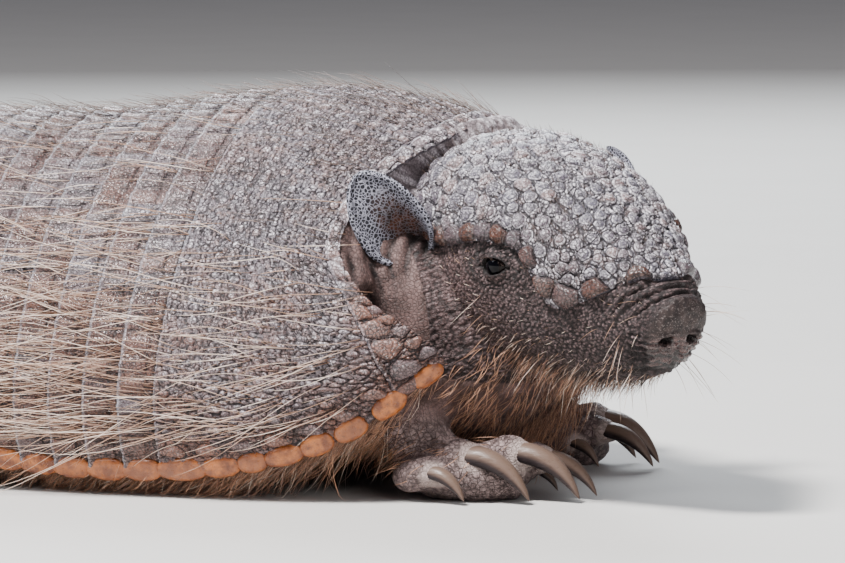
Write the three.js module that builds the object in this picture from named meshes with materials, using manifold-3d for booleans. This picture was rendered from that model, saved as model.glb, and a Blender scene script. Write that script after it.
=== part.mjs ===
// A large hairy armadillo at life size, standing low with its head turned to its right.
//
// Millimetres. +X runs forward, +Y to the animal's left, +Z up, and the floor is z = 0.
// The flesh pieces (head, neck, trunk, tail, legs, feet) are solid out to the tips of the coat.
// Shell plates, head shield, claws and eyes are pieces of their own.

import * as THREE from 'three';
import { mergeVertices } from 'three/addons/utils/BufferGeometryUtils.js';
import Module from 'manifold-3d';

const wasm = await Module();
wasm.setup();

// ---------------------------------------------------------------- driving dimensions

const GAP = 0.3; // clear space between pieces that touch
const BODY_MIDDLE_X = 120; // middle of the whole length, tail tip to nose

// Cross-sections of the shell, rear to front. Each lies in a plane through a level line
// across the body: x and line place that line, width is half the shell's width there, rise
// the distance up to the ridge, hem the height of the lower edge, lean the plane's backward
// lean in degrees.
const SHELL_SECTIONS = [
  { x: 42, width: 38, rise: 36, line: 38, hem: 35, lean: 85 },
  { x: 55, width: 49, rise: 46, line: 38, hem: 31, lean: 62 },
  { x: 75, width: 64, rise: 57, line: 36, hem: 27, lean: 36 },
  { x: 95, width: 74, rise: 66, line: 32, hem: 20, lean: 14 },
  { x: 113, width: 79, rise: 70, line: 29, hem: 14, lean: 4 },
  { x: 150, width: 82, rise: 73, line: 27, hem: 7, lean: 0 },
  { x: 197, width: 82, rise: 80, line: 27, hem: 6, lean: -3 },
  { x: 217, width: 81, rise: 81, line: 27, hem: 8, lean: -4 },
  { x: 240, width: 77, rise: 75, line: 30, hem: 14, lean: -5 },
  { x: 255, width: 72, rise: 65, line: 36, hem: 22, lean: -5 },
  { x: 268, width: 66, rise: 53, line: 43, hem: 33, lean: -5 },
  { x: 282, width: 58, rise: 43, line: 51, hem: 45, lean: -5 },
];
const SHELL_ARCH = 1.75; // superellipse power of a cross-section
const SHELL_WRAP = 112; // degrees from the ridge round to the hem
const SHELL_BEND = 8; // a leaning section starts to lean within about this much of its line
const PLATE_THICKNESS = 2.4;
const COAT_UNDER_SHELL = 0.8; // space between the plates and the body under them
const SHELL_SEGMENTS = 18; // facets from hem to hem

const BAND_COUNT = 8;
const BAND_PITCH = 10.5;
const SCAPULAR_REAR_X = 197;
const PELVIC_FRONT_X = SCAPULAR_REAR_X - BAND_COUNT * BAND_PITCH;
const PELVIC_REAR_X = SHELL_SECTIONS[0].x;
const STEP_HEIGHT = 1.0; // how far a plate's rear edge stands proud of the next one

// Front edges of the shoulder shield and of the neck band, from the ridge (0) to the hem (1).
const EDGE_AT = [0, 0.2, 0.4, 0.5, 0.6, 0.7, 0.8, 0.9, 1];
const SHIELD_FRONT_X = [253, 247.5, 237, 237, 246, 254, 258.5, 261, 262];
const NECK_BAND_FRONT_X = [261, 255.5, 243, 241.5, 251, 263.5, 270.5, 273, 274];

// The belly's lowest point under each station, out to the coat.
const BELLY_X = [42, 55, 75, 95, 113, 150, 217, 240];
const BELLY_Z = [27, 23, 19, 15, 10.5, 6, 6.5, 12];
const BELLY_FLATNESS = 0.55; // power of the belly's outline; lower is boxier
const BELLY_SEGMENTS = 10;
const TRUNK_FRONT_X = 236;
const RUMP_STATIONS_X = [50, 58, 67, 77, 88, 100]; // the trunk's sections under the pelvic shield
const RUMP_CENTRE = new THREE.Vector3(26, 0, 33);

// The head has axes of its own: +x to the nose, +y to the left, +z up from the level of the eyes.
const HEAD_PLACE = new THREE.Vector3(271, -12, 72);
const HEAD_YAW = -36;
const HEAD_PITCH = 11.7;
const HEAD_ROLL = 2;
const HEAD_SECTIONS = [
  { x: -14, width: 25, top: 16, bottom: -24 },
  { x: 0, width: 29, top: 26, bottom: -27 },
  { x: 14, width: 30.5, top: 28, bottom: -28 },
  { x: 28, width: 30.5, top: 27.5, bottom: -28.5 },
  { x: 40, width: 29, top: 25.5, bottom: -29 },
  { x: 52, width: 25, top: 22, bottom: -28.5 },
  { x: 63, width: 20.2, top: 17.8, bottom: -26 },
  { x: 74, width: 15.2, top: 13, bottom: -22.8 },
  { x: 83, width: 11.6, top: 9.2, bottom: -19.6 },
  { x: 88.5, width: 9.2, top: 6.4, bottom: -17.4 },
  { x: 91.5, width: 7.6, top: 4.4, bottom: -15.6 },
];
const HEAD_ROUNDNESS = 0.9; // power of a head section's outline
const MUZZLE_RAKE = 0.28; // the nose's top stands ahead of its bottom by this share of its height
const MUZZLE_RAKE_FROM_X = 70;
const NOSE_BULGE = 2; // the nose's middle stands this far ahead of its rim
const HEAD_SIDES = 18;
const NOSTRIL = { x: 91, y: 3.7, z: -6, radius: 1.9, innerRadius: 1.33, depth: 4, sides: 6 };

// The head shield's edge: how far round from the crown it reaches on each side, in degrees.
const BROW_X = [-10.5, -6, 4, 21, 38, 48, 54, 59, 64.5, 70, 75, 79, 83];
const BROW_REACH = [76, 85, 89, 86, 73, 71, 80, 91, 93, 85, 70, 46, 12];
const SHIELD_PROUD = 0.9;
const SHIELD_SUNK = 0.9;
const SHIELD_SEAT_GAP = 2 * GAP; // wider than GAP, because both faces are faceted
const SHIELD_SEAT_SPREAD = 1.3; // extra room round the seat's sides, as a share of its gap
const SHIELD_SEAT_OPEN = 3; // the seat is cut open this far above the shield
const SHIELD_RINGS = 9;
const SHIELD_SEGMENTS = 10;

const EYE_PLACE = { x: 40.5, y: 25.2, z: 2.2 };
const EYE_RADIUS = 4.4;
const EYE_FACETS = [10, 6];
const EYE_SOCKET_RADIUS = 5.3; // a coarse ball, so that its flats too clear the eye
const EYE_SOCKET_FACETS = [8, 5];

const EAR_BOW = 4.5; // the ear bows this far towards its opening
const EAR_WIDTH = 9.6; // half width at the widest
const EAR_THICKNESS = 1.1;
// Where each ear is rooted, where its tip stands and the way its cup opens, y outwards.
const EAR_RIGHT = { root: [4.2, 31.6, 0.2], tip: [0.9, 48.8, 18.5], opens: [0.85, 0.5, -0.05] };
const EAR_LEFT = { root: [-2, 30, -1.5], tip: [-12, 40, 16], opens: [0.5, 0.8, 0] };
// Degrees that each half of the cup wraps round, up the ear: nearly a tube at its root.
const EAR_CURL_AT = [0, 0.2, 0.5, 1];
const EAR_CURL = [150, 112, 66, 40];
const EAR_FLARE = 1.6; // how late the leaf widens from its root
const EAR_ROOT_SHARE = 0.35; // half width at the root, as a share of the widest
const EAR_TIP_ROUND = 0.93; // how far the tip's outline closes; 1 is a full round
const EAR_SUNK = 0.2; // share of the length that continues below the root
const EAR_RINGS = 5;
const EAR_SEGMENTS = 8;

const NECK_FULLNESS = 0.85; // power of a neck section's outline
const NECK_SIDES = 16;
const NECK_SECTIONS = [
  { x: 228, y: 0, width: 58, bottom: 16, top: 92 },
  { x: 250, y: -2, width: 55, bottom: 11, top: 94 },
  { x: 264, y: -5, width: 50, bottom: 9, top: 92 },
  { x: 277, y: -10, width: 41, bottom: 13, top: 82 },
  { x: 289, y: -16, width: 29, bottom: 23, top: 62 },
  { x: 297, y: -20, width: 15, bottom: 32, top: 50 },
];

// Legs: where the wrist or ankle stands, and the limb from inside the body down to it.
const FORE_RIGHT = { x: 266, y: -46 };
const FORE_LEFT = { x: 255, y: 47 };
const HIND_RIGHT = { x: 60, y: -50 };
const HIND_LEFT = { x: 72, y: 52 };
const FORE_LEG = [
  { at: [-21, -3, 40], wide: 13, high: 14 },
  { at: [-10, 0, 24], wide: 12, high: 12 },
  { at: [-3, 0.5, 13], wide: 9.5, high: 9.5 },
];
const HIND_LEG = [
  { at: [15, -14, 30], wide: 11, high: 12 },
  { at: [4, -5, 20], wide: 10, high: 9.5 },
  { at: [-5, 0, 13], wide: 9, high: 9.5 },
];

// Feet: +x to the toes, +y outwards, from the floor under the wrist or ankle.
const FORE_PALM = [
  { at: [-6, 0, 10], wide: 8.5, high: 8.5 },
  { at: [3, 0.5, 8], wide: 11.5, high: 9 },
  { at: [12, -2, 6.5], wide: 12.5, high: 8 },
  { at: [19, -5, 5], wide: 9.5, high: 6 },
];
const HIND_SOLE = [
  { at: [-10, 0, 8], wide: 8, high: 8.5 },
  { at: [2, 0, 7], wide: 10, high: 8.5 },
  { at: [18, 1, 6], wide: 12.5, high: 7.5 },
  { at: [30, 1, 5], wide: 11.5, high: 6 },
];
// Toes, outermost first: the claw's root, its length and width, and its heading outwards.
const FORE_TOES = [
  { root: [2, 12.5, 8], length: 14, width: 4.8, heading: 14 },
  { root: [10.5, 6, 12], length: 22, width: 6.9, heading: 4 },
  { root: [21.5, -2.5, 12.5], length: 22, width: 7.1, heading: 1 },
  { root: [26.5, -10.5, 10.5], length: 18, width: 5.6, heading: -2 },
  { root: [19, -16.5, 7.5], length: 11, width: 3.8, heading: -6 },
];
const HIND_TOES = [
  { root: [25, 12.5, 5.5], length: 9, width: 3.6, heading: 16 },
  { root: [35, 7.5, 6.5], length: 12, width: 4.4, heading: 8 },
  { root: [39, 1, 7], length: 13.5, width: 4.8, heading: 2 },
  { root: [36.5, -5.5, 6.5], length: 12, width: 4.4, heading: -4 },
  { root: [28, -10.5, 5.5], length: 9, width: 3.6, heading: -10 },
];
const CLAW_SIDES = 5;
const CLAW_STEPS = 3;
const CLAW_TAPER = 0.82; // share of the width that is gone at the tip
const CLAW_TAPER_POWER = 1.7; // the claw keeps its width near the root and narrows late
const CLAW_FLATNESS = 0.92; // height over width
const CLAW_TIP_HEIGHT = 1.2; // the tips' centres ride just above the floor
const CLAW_ARCH = 0.14; // height of the claw's back over its chord, as a share of its length
const CLAW_ROOT = 2.4; // length of claw inside the toe
const TOE_REACH = 8; // length of a toe behind its claw
const TOE_FLESH = 1.5; // thickness of the toe over its claw's root
const TOE_ROOT_SWELL = 0.9; // the toe is this much thicker where it leaves the foot
const TOE_ROOT_INWARD = 0.8; // the toe's root against its claw's root: share of the way out
const TOE_ROOT_DROP = 0.78; // and share of the height
const TOE_OVER_CLAW = 0.8; // the toe's skin covers this much of the bare claw
const TOE_PAD_DROP = 0.25; // the toe hangs this much below its claw's middle
const FOOT_SIDES = 8;
const LEG_SIDES = 10;

// The tail leaves under the shell's rear edge, comes down to the floor and lies along it.
const TAIL_PATH = [
  { at: [33, 0, 34], radius: 14.5 },
  { at: [16, 0, 30], radius: 13.8 },
  { at: [-2, 1, 22.5], radius: 12.6 },
  { at: [-18, 3, 14.5], radius: 11.2 },
  { at: [-32, 5.5, 9.7], radius: 10 },
  { at: [-48, 9, 8.2], radius: 8.6 },
  { at: [-63, 12.5, 6.9], radius: 7.3 },
  { at: [-77, 15, 5.6], radius: 5.9 },
  { at: [-90, 16.5, 4.3], radius: 4.5 },
  { at: [-102, 17.5, 3.1], radius: 3.2 },
  { at: [-109, 18, 2.2], radius: 2.1 },
];
const TAIL_CUTS = [0, 4, 7, TAIL_PATH.length - 1]; // stations where one length ends and the next starts
const TAIL_NAMES = ['tail_base', 'tail_middle', 'tail_tip'];
const TAIL_SIDES = 12;

const FLOOR_BLOCK = { length: 900, width: 400, depth: 60 }; // cuts the feet and tail level at z = 0

// ---------------------------------------------------------------- surfaces

const surface = (color, roughness, metalness = 0) =>
  new THREE.MeshStandardMaterial({ color, roughness, metalness });

const SHELL_HORN = surface(0x8f8378, 0.62);
const SHIELD_HORN = surface(0x8d8580, 0.55);
const SKIN = surface(0x6d5a50, 0.75);
const COAT = surface(0xa08468, 0.85);
const EAR_SKIN = surface(0x6f6a6a, 0.7);
const CLAW_HORN = surface(0x544a4c, 0.38);
const EYE_GLOSS = surface(0x0b0909, 0.08);

// ---------------------------------------------------------------- curves and closed bodies

const rad = THREE.MathUtils.degToRad;

// A smooth curve through (xs, ys): cubic pieces whose slope at each point is that of its neighbours.
function smoothCurve(xs, ys) {
  const last = xs.length - 1;
  const slope = (i) => {
    if (i === 0) return (ys[1] - ys[0]) / (xs[1] - xs[0]);
    if (i === last) return (ys[last] - ys[last - 1]) / (xs[last] - xs[last - 1]);
    const before = xs[i] - xs[i - 1];
    const after = xs[i + 1] - xs[i];
    const rise = ((ys[i + 1] - ys[i]) * before) / after + ((ys[i] - ys[i - 1]) * after) / before;
    return rise / (before + after);
  };
  return (x) => {
    let i = 0;
    while (i < last - 1 && x > xs[i + 1]) i += 1;
    const step = xs[i + 1] - xs[i];
    const t = THREE.MathUtils.clamp((x - xs[i]) / step, 0, 1);
    const fromStart = (2 * t ** 3 - 3 * t ** 2 + 1) * ys[i] + (t ** 3 - 2 * t ** 2 + t) * step * slope(i);
    const fromEnd = (3 * t ** 2 - 2 * t ** 3) * ys[i + 1] + (t ** 3 - t ** 2) * step * slope(i + 1);
    return fromStart + fromEnd;
  };
}

function sectionCurve(sections, key) {
  return smoothCurve(sections.map((s) => s.x), sections.map((s) => s[key]));
}

const signedPower = (value, power) => Math.sign(value) * Math.abs(value) ** power;

function closedGeometry(points, triangles) {
  const geometry = new THREE.BufferGeometry();
  const flat = points.flatMap((p) => [p.x, p.y, p.z]);
  geometry.setAttribute('position', new THREE.Float32BufferAttribute(flat, 3));
  geometry.setIndex(triangles);
  return geometry;
}

// Skins a row of closed rings, each running anticlockwise as seen from the last ring.
function loft(rings, firstCentre, lastCentre) {
  const count = rings[0].length;
  const points = [...rings.flat(), firstCentre, lastCentre];
  const triangles = [];
  for (let r = 0; r + 1 < rings.length; r += 1) {
    for (let i = 0; i < count; i += 1) {
      const a = r * count + i;
      const b = r * count + ((i + 1) % count);
      triangles.push(a, b, b + count, a, b + count, a + count);
    }
  }
  const lastRing = (rings.length - 1) * count;
  for (let i = 0; i < count; i += 1) {
    const next = (i + 1) % count;
    triangles.push(next, i, points.length - 2, lastRing + i, lastRing + next, points.length - 1);
  }
  return closedGeometry(points, triangles);
}

function centreOf(ring) {
  const sum = ring.reduce((total, p) => total.add(p), new THREE.Vector3());
  return sum.divideScalar(ring.length);
}

// A slab between two like grids of points; the faces point out when rows x columns points
// along the outer side's outward direction.
function slab(rows, columns, outerAt, innerAt) {
  const points = [];
  for (const at of [outerAt, innerAt]) {
    for (let r = 0; r <= rows; r += 1) {
      for (let c = 0; c <= columns; c += 1) points.push(at(r / rows, (2 * c) / columns - 1));
    }
  }
  const side = (rows + 1) * (columns + 1);
  const index = (r, c) => r * (columns + 1) + c;
  const triangles = [];
  const quad = (a, b, c, d) => triangles.push(a, b, c, a, c, d);
  for (let r = 0; r < rows; r += 1) {
    for (let c = 0; c < columns; c += 1) {
      const corners = [index(r, c), index(r + 1, c), index(r + 1, c + 1), index(r, c + 1)];
      quad(...corners);
      quad(...corners.map((i) => i + side).reverse());
    }
    const near = [index(r, 0), index(r + 1, 0)];
    const far = [index(r, columns), index(r + 1, columns)];
    quad(near[1], near[0], near[0] + side, near[1] + side);
    quad(far[0], far[1], far[1] + side, far[0] + side);
  }
  for (let c = 0; c < columns; c += 1) {
    const rear = [index(0, c), index(0, c + 1)];
    const front = [index(rows, c), index(rows, c + 1)];
    quad(rear[0], rear[1], rear[1] + side, rear[0] + side);
    quad(front[1], front[0], front[0] + side, front[1] + side);
  }
  return closedGeometry(points, triangles);
}

// A limb of oval sections along a path; grow swells it all over.
function limb(stations, sides, grow = 0) {
  const at = stations.map((s) => new THREE.Vector3(...s.at));
  const last = at.length - 1;
  const along = at.map((p, i) =>
    new THREE.Vector3().subVectors(at[Math.min(i + 1, last)], at[Math.max(i - 1, 0)]).normalize());
  const rings = stations.map((station, i) => {
    const across = new THREE.Vector3(0, 0, 1).cross(along[i]).normalize();
    const upward = new THREE.Vector3().crossVectors(along[i], across);
    const wide = (station.wide ?? station.radius) + grow;
    const high = (station.high ?? station.radius) + grow;
    const slide = i === 0 ? -grow : i === last ? grow : 0;
    const centre = at[i].clone().addScaledVector(along[i], slide);
    return Array.from({ length: sides }, (_, k) => {
      const turn = (2 * Math.PI * k) / sides;
      return centre.clone()
        .addScaledVector(across, wide * Math.cos(turn))
        .addScaledVector(upward, high * Math.sin(turn));
    });
  });
  return loft(rings, centreOf(rings[0]), centreOf(rings[last]));
}

// ---------------------------------------------------------------- joins and cuts

function solid(geometry) {
  const bare = geometry.clone();
  bare.deleteAttribute('normal');
  bare.deleteAttribute('uv');
  const merged = mergeVertices(bare, 1e-4);
  const vertProperties = Float32Array.from(merged.attributes.position.array);
  const triVerts = Uint32Array.from(merged.index.array);
  return new wasm.Manifold(new wasm.Mesh({ numProp: 3, vertProperties, triVerts }));
}

function geometryOf(manifold) {
  const mesh = manifold.getMesh();
  const geometry = new THREE.BufferGeometry();
  geometry.setAttribute('position', new THREE.BufferAttribute(mesh.vertProperties, 3));
  geometry.setIndex(new THREE.BufferAttribute(mesh.triVerts, 1));
  return geometry;
}

const cut = (from, cutters) => geometryOf(cutters.reduce((left, c) => left.subtract(solid(c)), from));
const placed = (geometry, matrix) => geometry.clone().applyMatrix4(matrix);

function belowFloor() {
  const { length, width, depth } = FLOOR_BLOCK;
  return new THREE.BoxGeometry(length, width, depth).translate(BODY_MIDDLE_X, 0, -depth / 2);
}

// ---------------------------------------------------------------- shell

const shell = Object.fromEntries(
  ['width', 'rise', 'line', 'hem', 'lean'].map((key) => [key, sectionCurve(SHELL_SECTIONS, key)]));

// A point of the shell: station x, v from the right hem (-1) over the ridge to the left hem (1),
// lifted off the shell's face by lift.
function shellPoint(x, v, lift) {
  const turn = rad(SHELL_WRAP) * v;
  const width = shell.width(x) + lift;
  const line = shell.line(x);
  const lean = rad(shell.lean(x));
  const below = Math.abs(turn) > Math.PI / 2;
  const y = width * signedPower(Math.sin(turn), below ? 1 : 2 / SHELL_ARCH);
  if (below) {
    const drop = (line - shell.hem(x)) * (Math.cos(turn) / Math.abs(Math.cos(rad(SHELL_WRAP))));
    return new THREE.Vector3(x, y, line + drop);
  }
  const height = (shell.rise(x) + lift) * Math.cos(turn) ** (2 / SHELL_ARCH);
  const bend = height / (height + SHELL_BEND);
  return new THREE.Vector3(
    x - Math.sin(lean) * height * bend,
    y,
    line + height * (1 - (1 - Math.cos(lean)) * bend),
  );
}

// A plate of the shell between a rear and a front edge, each an x for a given v. Its rear edge
// stands a step above the plate behind it.
function plate(rearAt, frontAt, rows, step = STEP_HEIGHT) {
  const stationAt = (t, v) =>
    THREE.MathUtils.lerp(rearAt(v) + GAP / 2, frontAt(v) - GAP / 2, t);
  return slab(
    rows,
    SHELL_SEGMENTS,
    (t, v) => shellPoint(stationAt(t, v), v, step * (1 - t)),
    (t, v) => shellPoint(stationAt(t, v), v, -PLATE_THICKNESS),
  );
}

const level = (x) => () => x;
const edge = (xs) => {
  const curve = smoothCurve(EDGE_AT, xs);
  return (v) => curve(Math.abs(v));
};

function shellPlates() {
  const plates = {
    nuchal_band: plate(edge(SHIELD_FRONT_X), edge(NECK_BAND_FRONT_X), 2),
    scapular_shield: plate(level(SCAPULAR_REAR_X), edge(SHIELD_FRONT_X), 5),
    pelvic_shield: plate(level(PELVIC_REAR_X), level(PELVIC_FRONT_X), 7),
  };
  for (let i = 0; i < BAND_COUNT; i += 1) {
    const front = SCAPULAR_REAR_X - i * BAND_PITCH;
    plates[`band_${i + 1}`] = plate(level(front - BAND_PITCH), level(front), 1);
  }
  return plates;
}

// ---------------------------------------------------------------- trunk and neck

function trunkBody(grow) {
  const belly = smoothCurve(BELLY_X, BELLY_Z);
  const stations = [PELVIC_REAR_X, ...RUMP_STATIONS_X];
  for (let x = PELVIC_FRONT_X; x < TRUNK_FRONT_X; x += 3 * BAND_PITCH) stations.push(x);
  stations.push(TRUNK_FRONT_X);
  const rings = stations.map((x, i) => {
    const ends = (i === stations.length - 1 ? grow : 0) - (i === 0 ? grow : 0);
    const ring = [];
    for (let k = 0; k <= SHELL_SEGMENTS; k += 1) {
      const lift = grow - PLATE_THICKNESS - COAT_UNDER_SHELL;
      ring.push(shellPoint(x + ends, 1 - (2 * k) / SHELL_SEGMENTS, lift));
    }
    const hem = ring[0].clone();
    for (let k = 1; k < BELLY_SEGMENTS; k += 1) {
      const turn = (Math.PI * k) / BELLY_SEGMENTS;
      const drop = (hem.z - belly(x) + grow) * Math.sin(turn) ** BELLY_FLATNESS;
      const y = -hem.y * signedPower(Math.cos(turn), BELLY_FLATNESS);
      ring.push(new THREE.Vector3(x + ends, y, hem.z - drop));
    }
    return ring;
  });
  return loft(rings, RUMP_CENTRE, centreOf(rings.at(-1)));
}

function neckBody(grow) {
  const rings = NECK_SECTIONS.map((section) => {
    const middle = (section.top + section.bottom) / 2;
    const high = (section.top - section.bottom) / 2 + grow;
    return Array.from({ length: NECK_SIDES }, (_, k) => {
      const turn = (2 * Math.PI * k) / NECK_SIDES;
      return new THREE.Vector3(
        section.x,
        section.y + (section.width + grow) * signedPower(Math.cos(turn), NECK_FULLNESS),
        middle + high * signedPower(Math.sin(turn), NECK_FULLNESS),
      );
    });
  });
  return loft(rings, centreOf(rings[0]), centreOf(rings.at(-1)));
}

// ---------------------------------------------------------------- head, in its own axes

const skull = Object.fromEntries(
  ['width', 'top', 'bottom'].map((key) => [key, sectionCurve(HEAD_SECTIONS, key)]));

// A point of the head: station x, turn round from the crown in degrees (left is positive).
function headPoint(x, turn, lift) {
  const top = skull.top(x) + lift;
  const bottom = skull.bottom(x) - lift;
  const middle = (top + bottom) / 4;
  const side = Math.sin(rad(turn));
  const up = Math.cos(rad(turn));
  const reach = up > 0 ? top - middle : middle - bottom;
  const z = middle + reach * signedPower(up, HEAD_ROUNDNESS);
  const muzzle = THREE.MathUtils.smoothstep(x, MUZZLE_RAKE_FROM_X, HEAD_SECTIONS.at(-1).x);
  return new THREE.Vector3(
    x + MUZZLE_RAKE * muzzle * (z - middle),
    (skull.width(x) + lift) * signedPower(side, HEAD_ROUNDNESS),
    z,
  );
}

function headBody(grow) {
  const lastIndex = HEAD_SECTIONS.length - 1;
  const rings = HEAD_SECTIONS.map((section, i) =>
    Array.from({ length: HEAD_SIDES }, (_, k) => {
      const point = headPoint(section.x, (-360 * k) / HEAD_SIDES, grow);
      point.x += i === lastIndex ? grow : i === 0 ? -grow : 0;
      return point;
    }));
  const nose = centreOf(rings[lastIndex]);
  nose.x += NOSE_BULGE;
  return loft(rings, centreOf(rings[0]), nose);
}

function headShield(margin, proud, sunk) {
  const reach = smoothCurve(BROW_X, BROW_REACH);
  const from = BROW_X[0];
  const to = BROW_X.at(-1);
  const at = (t, v, lift) => {
    const x = THREE.MathUtils.lerp(from, to, (1 - Math.cos(Math.PI * t)) / 2);
    const spread = THREE.MathUtils.radToDeg((SHIELD_SEAT_SPREAD * margin) / skull.width(x));
    const ends = t === 0 ? -margin : t === 1 ? margin : 0;
    return headPoint(x + ends, v * (reach(x) + spread), lift);
  };
  return slab(SHIELD_RINGS, SHIELD_SEGMENTS, (t, v) => at(t, v, proud), (t, v) => at(t, v, -sunk));
}

function eyeball(side, radius, facets) {
  return new THREE.SphereGeometry(radius, ...facets)
    .rotateX(Math.PI / 2)
    .translate(EYE_PLACE.x, side * EYE_PLACE.y, EYE_PLACE.z);
}

function nostril(side) {
  return new THREE.CylinderGeometry(NOSTRIL.radius, NOSTRIL.innerRadius, NOSTRIL.depth * 2, NOSTRIL.sides)
    .rotateZ(Math.PI / 2)
    .translate(NOSTRIL.x, side * NOSTRIL.y, NOSTRIL.z);
}

// An ear is a cupped leaf: wide in the middle, round at the tip, wrapped round the way it opens.
function ear(side, shape) {
  const place = ([x, y, z]) => new THREE.Vector3(x, side * y, z);
  const root = place(shape.root);
  const axis = place(shape.tip).sub(root);
  const length = axis.length();
  axis.normalize();
  const opens = place(shape.opens);
  opens.addScaledVector(axis, -opens.dot(axis)).normalize();
  const across = new THREE.Vector3().crossVectors(axis, opens);
  const halfWidth = (t) => {
    if (t < 0.5) {
      const flare = Math.sin(Math.PI * t) ** EAR_FLARE;
      return EAR_WIDTH * THREE.MathUtils.lerp(EAR_ROOT_SHARE, 1, flare);
    }
    return EAR_WIDTH * Math.sqrt(1 - EAR_TIP_ROUND * (2 * t - 1) ** 2);
  };
  const curlAt = smoothCurve(EAR_CURL_AT, EAR_CURL);
  const at = (t, v, thickness) => {
    const spread = rad(curlAt(t));
    const curl = spread * v;
    const radius = halfWidth(t) / Math.sin(Math.min(spread, Math.PI / 2));
    return root.clone()
      .addScaledVector(axis, length * THREE.MathUtils.lerp(-EAR_SUNK, 1, t))
      .addScaledVector(across, (radius + thickness) * Math.sin(curl))
      .addScaledVector(opens, EAR_BOW * Math.sin(Math.PI * t) + radius)
      .addScaledVector(opens, -(radius + thickness) * Math.cos(curl));
  };
  const face = (shift) => (t, v) => at(t, v, shift * EAR_THICKNESS);
  return slab(EAR_RINGS, EAR_SEGMENTS, face(0.5), face(-0.5));
}

function headGroup(shieldPiece, cutters) {
  const group = new THREE.Group();
  group.position.copy(HEAD_PLACE);
  group.rotation.set(rad(HEAD_ROLL), rad(HEAD_PITCH), rad(HEAD_YAW), 'ZYX');
  group.updateMatrixWorld();
  const aroundEars = [headBody(GAP), placed(neckBody(GAP), group.matrix.clone().invert()), ...cutters];
  const sockets = [-1, 1].map((side) => eyeball(side, EYE_SOCKET_RADIUS, EYE_SOCKET_FACETS));
  const nostrils = [-1, 1].map(nostril);
  group.add(
    named('head', cut(solid(headBody(0)), [...sockets, ...nostrils, ...cutters]), SKIN),
    named('head_shield', shieldPiece, SHIELD_HORN),
    named('eye_right', eyeball(-1, EYE_RADIUS, EYE_FACETS), EYE_GLOSS),
    named('eye_left', eyeball(1, EYE_RADIUS, EYE_FACETS), EYE_GLOSS),
    named('ear_right', cut(solid(ear(-1, EAR_RIGHT)), aroundEars), EAR_SKIN),
    named('ear_left', cut(solid(ear(1, EAR_LEFT)), aroundEars), EAR_SKIN),
  );
  return group;
}

// ---------------------------------------------------------------- legs, feet and claws

// A station of a foot or leg, mirrored to its side of the body.
const sided = (stations, side) =>
  stations.map((s) => ({ ...s, at: [s.at[0], side * s.at[1], s.at[2]] }));

function claw(length, width, grow) {
  const stations = [];
  for (let i = 0; i <= CLAW_STEPS; i += 1) {
    const x = THREE.MathUtils.lerp(-CLAW_ROOT, length, i / CLAW_STEPS);
    const along = Math.max(x, 0) / length;
    const wide = (width / 2) * (1 - CLAW_TAPER * along ** CLAW_TAPER_POWER);
    const arch = 4 * CLAW_ARCH * length * along * (1 - along);
    stations.push({ at: [x, 0, arch], wide, high: CLAW_FLATNESS * wide });
  }
  return limb(stations, CLAW_SIDES, grow);
}

// How a claw stands in its foot: pointing along its heading, dipping so that its tip just
// clears the floor.
function clawMatrix(toe, side) {
  const dip = Math.asin((toe.root[2] - CLAW_TIP_HEIGHT) / toe.length);
  const turn = new THREE.Euler(0, dip, side * rad(toe.heading), 'ZYX');
  return new THREE.Matrix4()
    .makeRotationFromEuler(turn)
    .setPosition(toe.root[0], side * toe.root[1], toe.root[2]);
}

function footBody(sole, toes, side) {
  let foot = solid(limb(sided(sole, side), FOOT_SIDES));
  for (const toe of toes) {
    const [x, y, z] = toe.root;
    const heading = rad(toe.heading);
    const back = [x - TOE_REACH * Math.cos(heading), y - TOE_REACH * Math.sin(heading)];
    const thick = toe.width / 2 + TOE_FLESH;
    const stations = [
      { at: [back[0], back[1] * TOE_ROOT_INWARD, z * TOE_ROOT_DROP], radius: thick + TOE_ROOT_SWELL },
      { at: [x + TOE_OVER_CLAW, y, z - TOE_PAD_DROP], radius: thick },
    ];
    foot = foot.add(solid(limb(sided(stations, side), CLAW_SIDES)));
  }
  const sockets = toes.map((toe) => placed(claw(toe.length, toe.width, GAP), clawMatrix(toe, side)));
  return solid(cut(foot, sockets));
}

function legGroup(kind, side, place, leg, sole, toes, body) {
  const name = side < 0 ? 'right' : 'left';
  const group = new THREE.Group();
  group.position.set(place.x, place.y, 0);
  const toLeg = new THREE.Matrix4().makeTranslation(-place.x, -place.y, 0);
  const around = body.map((geometry) => placed(geometry, toLeg));
  const foot = footBody(sole, toes, side);
  const legSolid = solid(limb(sided(leg, side), LEG_SIDES));
  const grownLeg = limb(sided(leg, side), LEG_SIDES, GAP);
  group.add(
    named(`${kind}_leg_${name}`, cut(legSolid, [...around, placed(belowFloor(), toLeg)]), COAT),
    named(`${kind}foot_${name}`, cut(foot, [...around, grownLeg, placed(belowFloor(), toLeg)]), SKIN),
  );
  toes.forEach((toe, i) => {
    const piece = named(`${kind}_claw_${name}_${i + 1}`, claw(toe.length, toe.width, 0), CLAW_HORN);
    piece.applyMatrix4(clawMatrix(toe, side));
    group.add(piece);
  });
  return group;
}

// ---------------------------------------------------------------- tail

function tailPieces(body) {
  return TAIL_NAMES.map((name, i) => {
    const stations = TAIL_PATH.slice(TAIL_CUTS[i], TAIL_CUTS[i + 1] + 1);
    const whole = solid(limb(stations, TAIL_SIDES));
    if (i === 0) return named(name, cut(whole, [...body, belowFloor()]), COAT);
    const previous = TAIL_PATH.slice(TAIL_CUTS[i - 1], TAIL_CUTS[i] + 1);
    return named(name, cut(whole, [limb(previous, TAIL_SIDES, GAP), belowFloor()]), COAT);
  });
}

// ---------------------------------------------------------------- the animal

function named(name, geometry, material) {
  const mesh = new THREE.Mesh(geometry, material);
  mesh.name = name;
  return mesh;
}

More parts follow.
